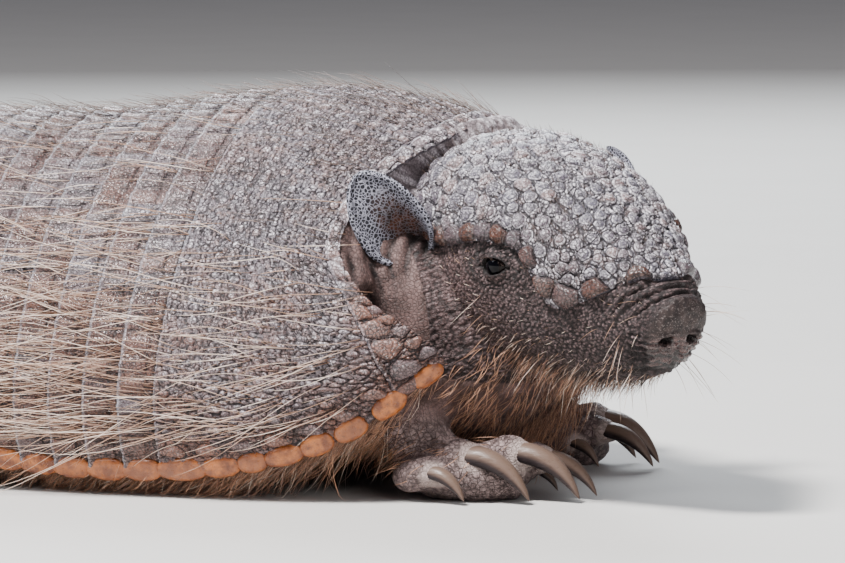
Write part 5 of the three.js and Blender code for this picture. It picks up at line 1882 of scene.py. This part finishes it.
def horn_group():
    """Horn of the shell: dark joints with painted shade in the gaps, pale rims and tops of wear and
    painted highlight, brown towards the hem.
    """
    tree, g, i, o = new_group("Scute Horn", {
        "Border": 1.0, "Fine": 1.0, "Tone": 0.5, "Warm": 0.2, "Crown": 0.0, "Edge": 0.0,
        "Grey": (0.155, 0.128, 0.150), "Brown": (0.21, 0.092, 0.062), "Pale": (0.93, 0.885, 0.94),
        "Groove": (0.010, 0.008, 0.010), "Wear": 0.95, "Rim": 0.16, "Gloss": 0.0, "Lip": 0.45})
    cloud = g.noise(9.0, 4.0)
    speck = g.noise(0.8, 3.0, 0.65)
    patch = g.noise(2.2, 3.0)
    chips = g.span(g.cells(1.05, warp=0.9), 0.14, 0.03)
    light = g.times(g.span(i["Tone"], 0.6, 1.0, 0.0, 0.5), g.span(i["Warm"], 0.4, 0.8, 1.0, 0.2))
    base = g.layers(g.mix(i["Warm"], i["Grey"], i["Brown"]),
                    (g.span(i["Tone"], 0.0, 0.5, 0.55, 0.0), (0.115, 0.11, 0.135)),
                    (light, (0.30, 0.17, 0.135)),
                    (g.span(cloud, 0.4, 0.75, 0.0, 0.4), (0.13, 0.10, 0.10)))
    # Pale rims near each scute's edge: worn edges, with painted highlight where the edges catch the light.
    rim = g.times(g.span(i["Fine"], 0.14, 0.3), g.span(i["Fine"], 0.62, 0.36), i["Rim"],
                  g.span(patch, 0.33, 0.6, 0.2, 1.0), g.span(i["Warm"], 0.45, 0.8, 1.0, 0.12))
    # Pale tops where the Crown mask is high, most on each scute's lit side: wear, with painted highlight
    # over it.
    wear_and_highlight = g.times(g.span(i["Crown"], 0.15, 0.8), g.span(speck, 0.42, 0.6),
                   g.span(patch, 0.3, 0.62, 0.2, 1.0), i["Wear"],
                   g.span(i["Warm"], 0.3, 0.85, 1.0, 0.1))
    # Near-black gaps between scutes: dark joints with painted shade laid over them; the chips' fine cracks
    # are the horn's own.
    dark = g.larger(g.times(g.span(i["Border"], 0.35, 0.05), 0.8),
                    g.times(g.span(i["Fine"], 0.26, 0.05), 0.95))
    dark = g.times(dark, g.span(i["Edge"], 0.2, 0.7, 1.0, 0.0))
    dark = g.larger(dark, g.times(chips, g.span(cloud, 0.3, 0.6, 0.3, 0.85)))
    g.put(o["Color"], g.layers(base, (g.larger(rim, wear_and_highlight, clamp=True), i["Pale"]),
                               (g.times(i["Edge"], i["Lip"]), (0.60, 0.62, 0.70)),
                               (dark, i["Groove"])))
    rough = g.plus(g.span(speck, 0.3, 0.7, 0.24, 0.46), g.times(dark, 0.35))
    rough = g.minus(rough, g.times(i["Warm"], 0.12))
    g.put(o["Roughness"], g.minus(rough, g.times(i["Gloss"], 0.14)))
    height = g.plus(g.times(speck, 0.6), g.times(patch, 0.4),
                    g.times(g.span(i["Fine"], 0.0, 0.3), 0.6))
    height = g.minus(height, g.times(chips, 0.5))
    g.put(o["Height"], g.plus(height, g.times(g.noise(0.35, 2.0), 0.3)))
    return tree


def skin_group():
    """Wrinkled skin with a net of small scales; painted shade darkens its folds, and painted highlight
    lightens scale tops and specks the nose.
    """
    tree, g, i, o = new_group("Armadillo Skin", {
        **{mask.capitalize(): 0.0 for mask in SKIN_MASKS},
        "Dark": (0.026, 0.017, 0.017), "Pink": (0.14, 0.078, 0.072), "Fold": (0.012, 0.009, 0.009)})
    patch = g.noise(7.0, 4.0)
    pore = g.noise(0.5, 3.0, 0.65)
    mottle = g.noise(2.0, 4.0, 0.6)
    scale_edge = g.cells(1.0, warp=0.7)
    large_edge = g.cells(1.45, warp=1.1)
    ear_edge = g.cells(0.95, warp=0.5)

    # Scale tops on the face are painted paler, the scales' own tone with painted highlight over it; the
    # gaps between them get painted shade.
    top = g.times(g.span(i["Scale"], 0.25, 0.9), g.span(pore, 0.35, 0.6, 0.2, 1.0),
                  g.span(mottle, 0.3, 0.62, 0.3, 1.0))
    face = g.layers(i["Dark"],
                    (g.times(i["Cheek"], g.span(patch, 0.3, 0.65, 0.3, 1.0)), i["Pink"]),
                    (top, (0.205, 0.138, 0.138)),
                    (g.times(g.span(i["Scale"], 0.25, 0.0), 0.5), i["Fold"]))
    body = g.mix(g.span(patch, 0.35, 0.65), (0.075, 0.045, 0.04), (0.16, 0.10, 0.092))
    # The nape is painted pale like shield horn, and brighter still to offset the shade on this steep,
    # forward-facing strip: painted light.
    nape = g.mix(g.times(g.span(i["Scale"], 0.2, 0.85), g.span(pore, 0.35, 0.6, 0.3, 1.0)),
                 (0.24, 0.20, 0.21), (0.62, 0.57, 0.60))
    foot = g.layers((0.075, 0.05, 0.048), (g.span(mottle, 0.3, 0.7), (0.30, 0.22, 0.21)),
                    (g.times(g.span(large_edge, 0.12, 0.02), 0.6), (0.04, 0.028, 0.027)))
    tail = g.mix(g.span(patch, 0.3, 0.7), (0.20, 0.13, 0.095), (0.38, 0.28, 0.22))
    wet = g.mix(g.span(pore, 0.35, 0.62), (0.045, 0.02, 0.018), (0.20, 0.10, 0.09))
    # The nose's bright speckles are painted highlight: glints on the wet skin.
    nose = g.layers((0.016, 0.011, 0.011), (g.span(mottle, 0.35, 0.65), (0.058, 0.040, 0.037)),
                    (g.times(g.span(pore, 0.56, 0.66), 0.5), (0.34, 0.29, 0.28)),
                    (g.times(i["Wet"], g.span(patch, 0.35, 0.6, 0.25, 0.9)), wet))
    net = g.span(ear_edge, 0.16, 0.05)
    rust = g.mix(g.span(mottle, 0.35, 0.65), (0.016, 0.005, 0.003), (0.075, 0.024, 0.011))
    ear = g.layers((0.012, 0.012, 0.018), (net, (0.34, 0.34, 0.41)),
                   (g.times(i["Inner"], g.minus(1.0, g.times(net, 0.25))), rust))
    # The Crease layer is painted shade: near black in folds, pits, grooves and the mouth line.
    g.put(o["Color"], g.layers(
        body, (i["Face"], face), (i["Nape"], nape),
        (g.times(g.span(scale_edge, 0.12, 0.02), 0.45), i["Fold"]),
        (i["Foot"], foot), (g.times(i["Cuff"], 0.8), (0.44, 0.35, 0.32)), (i["Tail"], tail),
        (g.times(i["Nose"], 0.9), nose), (i["Ear"], ear),
        (g.times(i["Crease"], 0.9, clamp=True), i["Fold"])))

    rough = g.minus(g.span(pore, 0.3, 0.7, 0.45, 0.68), g.times(i["Wet"], 0.25))
    g.put(o["Roughness"], g.minus(rough, g.times(i["Nose"], 0.08)))
    scales = g.times(g.span(scale_edge, 0.0, 0.14), g.minus(1.0, i["Nose"]), 0.5)
    g.put(o["Height"], g.plus(g.times(pore, 0.5), g.times(mottle, 0.5), scales,
                              g.times(g.span(large_edge, 0.0, 0.14), i["Foot"]),
                              g.times(net, i["Ear"], 0.6)))
    return tree


def hair_group():
    """One hair: darker at its root, its own tone, paler to the tip."""
    tree, g, i, o = new_group("Hair", {
        "Along": 0.0, "Tone": 0.5, "Root": (0.10, 0.06, 0.04), "Light": (0.70, 0.52, 0.36),
        "Deep": (0.30, 0.17, 0.10)})
    shaft = g.mix(g.span(i["Tone"], 0.15, 0.85), i["Deep"], i["Light"])
    dull = g.times(g.span(g.noise(3.0, 2.0), 0.4, 0.7), 0.3)
    g.put(o["Color"], g.layers(i["Root"], (g.span(i["Along"], 0.0, 0.4), shaft), (dull, i["Deep"])))
    g.put(o["Roughness"], g.span(i["Tone"], 0.0, 1.0, 0.5, 0.36))
    g.put(o["Height"], g.noise(0.5, 2.0))
    return tree


def attributes(graph, masks):
    """The mesh's masks, under the names of the group inputs that they feed."""
    return {mask.capitalize(): graph.attribute(mask) for mask in masks}


def shell_material(tree, name, **colours):
    """Horn of the plates with this material's own colours."""
    material, g, shader = new_material(name)
    dress_with_group(g, tree, shader, 0.45, {**attributes(g, PLATE_MASKS), **colours},
                     Specular_IOR_Level=0.6)
    return material


def skin_material(tree):
    """The one skin, with a wet coat on the nose."""
    material, g, shader = new_material("Skin")
    dress_with_group(g, tree, shader, 0.32, attributes(g, SKIN_MASKS), Specular_IOR_Level=0.28,
                     Coat_Weight=g.times(g.attribute("wet"), 0.6), Coat_Roughness=0.15)
    return material


def hair_material(tree, name, **colours):
    """Hairs of one colour."""
    material, g, shader = new_material(name)
    dress_with_group(g, tree, shader, 0.02, {**attributes(g, ("along", "tone")), **colours},
                     Specular_IOR_Level=0.45)
    return material


def margin_material(bright):
    """The orange hem scutes: clouded horn with grime and pale scuffs."""
    material, g, shader = new_material("Margin Horn")
    cloud = g.noise(3.5, 4.0, 0.6)
    grime = g.noise(1.0, 4.0, 0.65)
    colour = g.layers((0.15, 0.036, 0.008), (g.span(cloud, 0.35, 0.65), bright),
                      (g.span(g.attribute("tone"), 0.0, 1.0, 0.0, 0.5), (0.24, 0.075, 0.025)),
                      (g.span(grime, 0.56, 0.72, 0.0, 0.7), (0.11, 0.05, 0.03)),
                      (g.span(grime, 0.34, 0.24, 0.0, 0.4), (0.62, 0.40, 0.26)))
    dress(g, shader, colour, g.span(grime, 0.3, 0.7, 0.24, 0.5), grime, 0.18, Coat_Weight=0.3,
          Coat_Roughness=0.25)
    return material


def claw_material():
    """Dark streaked claws, paler at the tip and at the root, with painted highlight along the back."""
    material, g, shader = new_material("Claw Horn")
    along, back = g.attribute("along"), g.attribute("back")
    streak = g.noise(1.0, 4.0, 0.6, (0.3, 1.5, 1.5))
    # Paler along the back: painted highlight on the claw's upper side; the paler tip is the horn's own.
    pale = g.larger(g.span(along, 0.8, 1.0, 0.0, 0.3), g.times(back, 0.5))
    colour = g.layers((0.010, 0.007, 0.009), (g.span(along, 0.0, 0.85), (0.022, 0.014, 0.014)),
                      (g.span(streak, 0.5, 0.72, 0.0, 0.5), (0.06, 0.042, 0.044)),
                      (pale, (0.24, 0.16, 0.12)), (g.span(along, 0.05, 0.0), (0.40, 0.32, 0.29)))
    dress(g, shader, colour, g.span(streak, 0.3, 0.7, 0.26, 0.46), streak, 0.14,
          Specular_IOR_Level=0.24)
    return material


def eye_material():
    """A dark, glossy eye."""
    material, g, shader = new_material("Eye")
    pupil = g.attribute("pupil")
    iris = g.mix(g.span(g.noise(0.6, 3.0), 0.35, 0.65), (0.004, 0.003, 0.003), (0.009, 0.005, 0.004))
    g.put(shader.inputs["Base Color"], g.mix(pupil, iris, (0.001, 0.001, 0.002)))
    g.put(shader.inputs["Roughness"], g.span(g.noise(2.0, 2.0), 0.3, 0.7, 0.02, 0.05))
    shader.inputs["Specular IOR Level"].default_value = 0.15
    return material


# ---------------- the stage

FLOOR_REACH = 4
# Soft lights: place, size, share of the key light's power and colour.
LIGHTS = {"key": ((-0.25, -0.65, 1.35), (0.36, 0.3), 1.0, (1.0, 0.98, 0.97)),
          "fill": ((1.5, -1.0, 0.6), (1.0, 1.0), 0.12, (1.0, 0.96, 0.95)),
          "catch": ((-0.56, -0.81, 0.64), (0.16, 0.12), 0.05, (0.9, 0.95, 1.0)),
          "rim": ((-0.6, 1.3, 0.9), (1.2, 0.8), 0.5, (0.9, 0.95, 1.0))}
LIGHTS_AIM = (0.05, 0.0, 0.05)
# The camera's lens gives PIXELS_PER_MM at VIEW_DISTANCE, in a picture PICTURE_WIDTH pixels wide.
# It looks at a point LOOK_SHIFT to the left of LOOK_AT, both in body millimetres.
SENSOR_WIDTH = 36.0
PICTURE_WIDTH = 845.0
PIXELS_PER_MM = 3.6
VIEW_DISTANCE = 1900.0
LOOK_AT = (265.0, 0.0, 55.3)
LOOK_SHIFT = 21.5


def build_stage(stage):
    """Floor, even sky, soft lights and the camera."""
    scene = bpy.context.scene
    mesh = bpy.data.meshes.new("floor")
    r = FLOOR_REACH
    mesh.from_pydata([(-r, -r, 0), (r, -r, 0), (r, r, 0), (-r, r, 0)], [], [(0, 1, 2, 3)])
    floor = bpy.data.objects.new("floor", mesh)
    scene.collection.objects.link(floor)
    material, g, shader = new_material("Floor")
    g.put(shader.inputs["Base Color"],
          g.mix(g.noise(60.0), (0.50, 0.49, 0.47), (0.54, 0.53, 0.51)))
    shader.inputs["Roughness"].default_value = 0.75
    mesh.materials.append(material)

    world = bpy.data.worlds.new("Studio")
    world.use_nodes = True
    scene.world = world
    background = world.node_tree.nodes["Background"]
    background.inputs["Color"].default_value = (0.86, 0.86, 1.0, 1.0)
    background.inputs["Strength"].default_value = stage.sky

    for name, (place, size, share, colour) in LIGHTS.items():
        light = bpy.data.lights.new(name, "AREA")
        light.shape = "RECTANGLE"
        light.size, light.size_y = size
        light.energy = stage.key_power * share
        light.color = colour
        lamp = bpy.data.objects.new(name, light)
        scene.collection.objects.link(lamp)
        lamp.location = place
        aim = Vector(LIGHTS_AIM) - Vector(place)
        lamp.rotation_euler = aim.to_track_quat("-Z", "Y").to_euler()

    a, e = stage.azimuth, stage.elevation
    right = np.array([math.cos(a), math.sin(a), 0.0])
    back = np.array([math.sin(a) * math.cos(e), -math.cos(a) * math.cos(e), math.sin(e)])
    target = to_frame(LOOK_AT) - LOOK_SHIFT * MM * right
    camera = bpy.data.cameras.new("camera")
    camera.sensor_width = SENSOR_WIDTH
    camera.lens = SENSOR_WIDTH * PIXELS_PER_MM * VIEW_DISTANCE / PICTURE_WIDTH
    camera.clip_end = 20.0
    rig = bpy.data.objects.new("camera", camera)
    scene.collection.objects.link(rig)
    rig.location = Vector(target + back * stage.distance)
    rig.rotation_euler = Vector(-back).to_track_quat("-Z", "Y").to_euler()
    scene.camera = rig


# ---------------- settings


def colour_property(name, description, default):
    """A colour that a user may change."""
    return bpy.props.FloatVectorProperty(name=name, description=description, default=default,
                                         min=0.0, max=1.0, subtype="COLOR")


class ArmadilloSkin(bpy.types.PropertyGroup):
    """The skin under the coat."""

    voxel: bpy.props.FloatProperty(
        name="Voxel", description="Grain of the skin's mesh before its fine parts are refined",
        default=0.0017, min=0.0008, max=0.004, precision=4, subtype="DISTANCE", unit="LENGTH")
    coat_depth: bpy.props.FloatProperty(
        name="Coat depth", description="How far the skin lies inside the coat on the belly",
        default=0.0045, min=0.0, max=0.01, precision=4, subtype="DISTANCE", unit="LENGTH")


class ArmadilloShell(bpy.types.PropertyGroup):
    """The shell's plates."""

    cell: bpy.props.FloatProperty(
        name="Grain", description="Spacing of the points that carry the scutes' relief",
        default=0.0005, min=0.0003, max=0.002, precision=5, subtype="DISTANCE", unit="LENGTH")
    pelvic_cell: bpy.props.FloatProperty(
        name="Pelvic grain", description="The same over the pelvic shield",
        default=0.00088, min=0.0003, max=0.002, precision=5, subtype="DISTANCE", unit="LENGTH")
    head_cell: bpy.props.FloatProperty(
        name="Head grain", description="The same over the head shield",
        default=0.00038, min=0.0003, max=0.002, precision=5, subtype="DISTANCE", unit="LENGTH")
    horn: colour_property("Horn", "Plain horn of the shields", (0.155, 0.128, 0.150))
    band_horn: colour_property("Band horn", "Plain horn of the bands", (0.10, 0.082, 0.10))
    head_horn: colour_property("Head horn", "Plain horn of the head shield", (0.125, 0.115, 0.150))
    hem: colour_property("Hem", "Bright clouds of the scutes along the hem", (0.50, 0.155, 0.032))


class ArmadilloCoat(bpy.types.PropertyGroup):
    """The hairs."""

    density: bpy.props.FloatProperty(
        name="Density", description="Number of hairs against the full coat", default=1.0, min=0.1,
        max=1.5)
    length: bpy.props.FloatProperty(
        name="Length", description="Length of the hairs against the full coat", default=1.0,
        min=0.2, max=1.5)
    thickness: bpy.props.FloatProperty(
        name="Thickness", description="Scale of the hairs' radius; one millimetre leaves it as set",
        default=0.001, min=0.0005, max=0.002, precision=4, subtype="DISTANCE", unit="LENGTH")
    pale: colour_property("Pale", "Lightest of the long hairs of the flanks", (0.82, 0.68, 0.58))
    brown: colour_property("Brown", "Lightest of the hairs underneath", (0.62, 0.33, 0.20))
    dusk: colour_property("Dusk", "Lightest of the hairs of the back", (0.25, 0.175, 0.145))
    dark: colour_property("Dark", "Lightest of the short bristles", (0.10, 0.062, 0.048))


class ArmadilloStage(bpy.types.PropertyGroup):
    """Floor, light and camera."""

    azimuth: bpy.props.FloatProperty(
        name="Azimuth", description="Way round the animal to the camera, from its right side",
        default=math.radians(23.0), subtype="ANGLE", unit="ROTATION")
    elevation: bpy.props.FloatProperty(
        name="Elevation", description="Height of the camera as an angle",
        default=math.radians(5.0), subtype="ANGLE", unit="ROTATION")
    distance: bpy.props.FloatProperty(
        name="Distance", description="From the camera to the head",
        default=1.9, min=0.5, max=6.0, subtype="DISTANCE", unit="LENGTH")
    key_power: bpy.props.FloatProperty(
        name="Key light", description="Power of the large soft light in watts",
        default=78.0, min=0.0, max=500.0, unit="POWER")
    sky: bpy.props.FloatProperty(
        name="Sky", description="Strength of the even light from all round", default=0.18, min=0.0,
        max=5.0)


# ---------------- operators

SKIN_SHAPE = []  # the skin's points and triangles, set by its operator for the coat to grow on


class ARMADILLO_OT_skin(bpy.types.Operator):
    """Build the one skin of head, ears, neck, trunk, legs, feet and tail"""

    bl_idname = "armadillo.skin"
    bl_label = "Skin"

    def execute(self, context):
        points, triangles, masks = build_skin(context.scene.armadillo_skin)
        SKIN_SHAPE[:] = [points, triangles]
        piece = make_piece("skin", points, triangles, masks, skin_material(skin_group()))
        flesh = ["head", "neck", "trunk", "tail_base", "tail_middle", "tail_tip"]
        for name, _ in SIDES:
            flesh += [f"ear_{name}", f"fore_leg_{name}", f"hind_leg_{name}", f"forefoot_{name}",
                      f"hindfoot_{name}"]
        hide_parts(*flesh)
        return {"FINISHED"}


class ARMADILLO_OT_eyes(bpy.types.Operator):
    """Build the two eyeballs"""

    bl_idname = "armadillo.eyes"
    bl_label = "Eyes"

    def execute(self, context):
        material = eye_material()
        for name, side in SIDES:
            piece = make_piece(f"eyeball_{name}", *eye_mesh(side), material)
            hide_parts(f"eye_{name}")
        return {"FINISHED"}


class ARMADILLO_OT_claws(bpy.types.Operator):
    """Build the twenty claws"""

    bl_idname = "armadillo.claws"
    bl_label = "Claws"

    def execute(self, context):
        material = claw_material()
        for kind in TOES:
            for name, side in SIDES:
                for i in range(len(TOES[kind])):
                    node = f"{kind}_claw_{name}_{i + 1}"
                    piece = make_piece(f"horn_{node}", *claw_mesh(kind, side, i), material)
                    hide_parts(node)
        return {"FINISHED"}


class ARMADILLO_OT_shell(bpy.types.Operator):
    """Build the neck band, the shields and the movable bands with their scutes"""

    bl_idname = "armadillo.shell"
    bl_label = "Shell"

    def execute(self, context):
        sizes = context.scene.armadillo_shell
        horn = horn_group()
        shields = shell_material(horn, "Carapace Horn", Grey=tuple(sizes.horn), Lip=0.3)
        bands = shell_material(horn, "Band Horn", Grey=tuple(sizes.band_horn), Wear=0.34, Rim=0.12,
                               Brown=(0.15, 0.075, 0.058), Gloss=0.6)
        pieces = {"nuchal_band": nuchal_plate()}
        pieces["scapular_shield"] = shield_plate(
            lambda v: np.full_like(v, SCAPULAR_REAR_X), edge_curve(SHIELD_FRONT_X),
            sizes.cell / MM, pitch=6.0, spacing=5.4, seed=51)
        pieces["pelvic_shield"] = shield_plate(
            lambda v: np.full_like(v, PELVIC_REAR_X), lambda v: np.full_like(v, PELVIC_FRONT_X),
            sizes.pelvic_cell / MM, pitch=7.0, spacing=5.6, seed=53)
        for i in range(BAND_COUNT):
            pieces[f"band_{i + 1}"] = band_plate(i)
        for node, (points, faces, masks) in pieces.items():
            material = bands if node.startswith("band") else shields
            piece = make_piece(f"scutes_{node}", points, faces, masks, material)
            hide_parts(node)
        return {"FINISHED"}


class ARMADILLO_OT_head_shield(bpy.types.Operator):
    """Build the plate over the head"""

    bl_idname = "armadillo.head_shield"
    bl_label = "Head shield"

    def execute(self, context):
        sizes = context.scene.armadillo_shell
        horn = bpy.data.node_groups["Scute Horn"]
        material = shell_material(horn, "Shield Horn", Grey=tuple(sizes.head_horn), Wear=0.6,
                                  Brown=(0.075, 0.029, 0.018), Rim=0.7, Gloss=0.8)
        points, faces, masks = head_shield(sizes.head_cell / MM)
        piece = make_piece("scutes_head_shield", points, faces, masks, material)
        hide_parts("head_shield")
        return {"FINISHED"}


class ARMADILLO_OT_margin(bpy.types.Operator):
    """Build the row of large scutes along both hems"""

    bl_idname = "armadillo.margin"
    bl_label = "Margin scutes"

    def execute(self, context):
        points, triangles, tone = margin_scutes()
        material = margin_material(tuple(context.scene.armadillo_shell.hem))
        piece = make_piece("scutes_margin", points, triangles, {"tone": tone}, material)
        return {"FINISHED"}


# Colours of the coat's shades at the root and at their deepest; the settings hold the lightest.
COAT_SHADES = {"pale": {"Root": (0.20, 0.11, 0.075), "Deep": (0.42, 0.25, 0.165)},
               "brown": {"Root": (0.05, 0.026, 0.018), "Deep": (0.13, 0.062, 0.042)},
               "dusk": {"Root": (0.04, 0.028, 0.024), "Deep": (0.07, 0.05, 0.045)},
               "dark": {"Root": (0.02, 0.014, 0.012), "Deep": (0.025, 0.016, 0.014)}}


def coat_material(settings, shade):
    """The coat's material of this shade, made the first time it is asked for."""
    name = f"Hair {shade.capitalize()}"
    if name in bpy.data.materials:
        return bpy.data.materials[name]
    tree = bpy.data.node_groups.get("Hair") or hair_group()
    return hair_material(tree, name, Light=tuple(getattr(settings, shade)), **COAT_SHADES[shade])


class ARMADILLO_OT_coat_shell(bpy.types.Operator):
    """Grow the long pale hairs and the short bristles of the shell"""

    bl_idname = "armadillo.coat_shell"
    bl_label = "Coat of the shell"

    def execute(self, context):
        settings = context.scene.armadillo_coat
        coat_shell(settings, coat_material(settings, "pale"), coat_material(settings, "dark"))
        coat_ridge(settings, coat_material(settings, "dusk"))
        return {"FINISHED"}


class ARMADILLO_OT_coat_hem(bpy.types.Operator):
    """Grow the fringe under both hems"""

    bl_idname = "armadillo.coat_hem"
    bl_label = "Coat of the hem"

    def execute(self, context):
        settings = context.scene.armadillo_coat
        coat_hem(settings, coat_material(settings, "brown"), coat_material(settings, "pale"))
        return {"FINISHED"}


class ARMADILLO_OT_coat_under(bpy.types.Operator):
    """Grow the coat of throat, belly, legs and tail"""

    bl_idname = "armadillo.coat_under"
    bl_label = "Coat underneath"

    def execute(self, context):
        settings = context.scene.armadillo_coat
        brown = coat_material(settings, "brown")
        coat_under(settings, SKIN_SHAPE, brown)
        coat_limbs(settings, SKIN_SHAPE, brown)
        return {"FINISHED"}


class ARMADILLO_OT_coat_head(bpy.types.Operator):
    """Grow the hairs, bristles, whiskers and lashes of the head"""

    bl_idname = "armadillo.coat_head"
    bl_label = "Coat of the head"

    def execute(self, context):
        settings = context.scene.armadillo_coat
        coat_head(settings, SKIN_SHAPE, coat_material(settings, "dark"),
                  coat_material(settings, "pale"))
        return {"FINISHED"}


class ARMADILLO_OT_stage(bpy.types.Operator):
    """Set the floor, the soft lights and the camera"""

    bl_idname = "armadillo.stage"
    bl_label = "Stage"

    def execute(self, context):
        build_stage(context.scene.armadillo_stage)
        return {"FINISHED"}


class ARMADILLO_PT_panel(bpy.types.Panel):
    """Lists the steps in the order they are run"""

    bl_label = "Armadillo"
    bl_space_type = "VIEW_3D"
    bl_region_type = "UI"
    bl_category = "Armadillo"

    def draw(self, context):
        for step in STEPS:
            self.layout.operator(step.bl_idname)


STEPS = (ARMADILLO_OT_skin, ARMADILLO_OT_eyes, ARMADILLO_OT_claws, ARMADILLO_OT_shell,
         ARMADILLO_OT_head_shield, ARMADILLO_OT_margin, ARMADILLO_OT_coat_shell,
         ARMADILLO_OT_coat_hem, ARMADILLO_OT_coat_under, ARMADILLO_OT_coat_head,
         ARMADILLO_OT_stage)
SETTINGS = {"armadillo_skin": ArmadilloSkin, "armadillo_shell": ArmadilloShell,
            "armadillo_coat": ArmadilloCoat, "armadillo_stage": ArmadilloStage}


def register():
    for cls in (*SETTINGS.values(), *STEPS, ARMADILLO_PT_panel):
        bpy.utils.register_class(cls)
    for name, cls in SETTINGS.items():
        setattr(bpy.types.Scene, name, bpy.props.PointerProperty(type=cls))


def unregister():
    for name in SETTINGS:
        delattr(bpy.types.Scene, name)
    for cls in (ARMADILLO_PT_panel, *reversed(STEPS), *reversed(SETTINGS.values())):
        bpy.utils.unregister_class(cls)


def main():
    register()
    for step in STEPS:
        module, name = step.bl_idname.split(".")
        if getattr(getattr(bpy.ops, module), name)() != {"FINISHED"}:
            raise RuntimeError(f"{step.bl_label} did not finish")


if __name__ == "__main__":
    main()
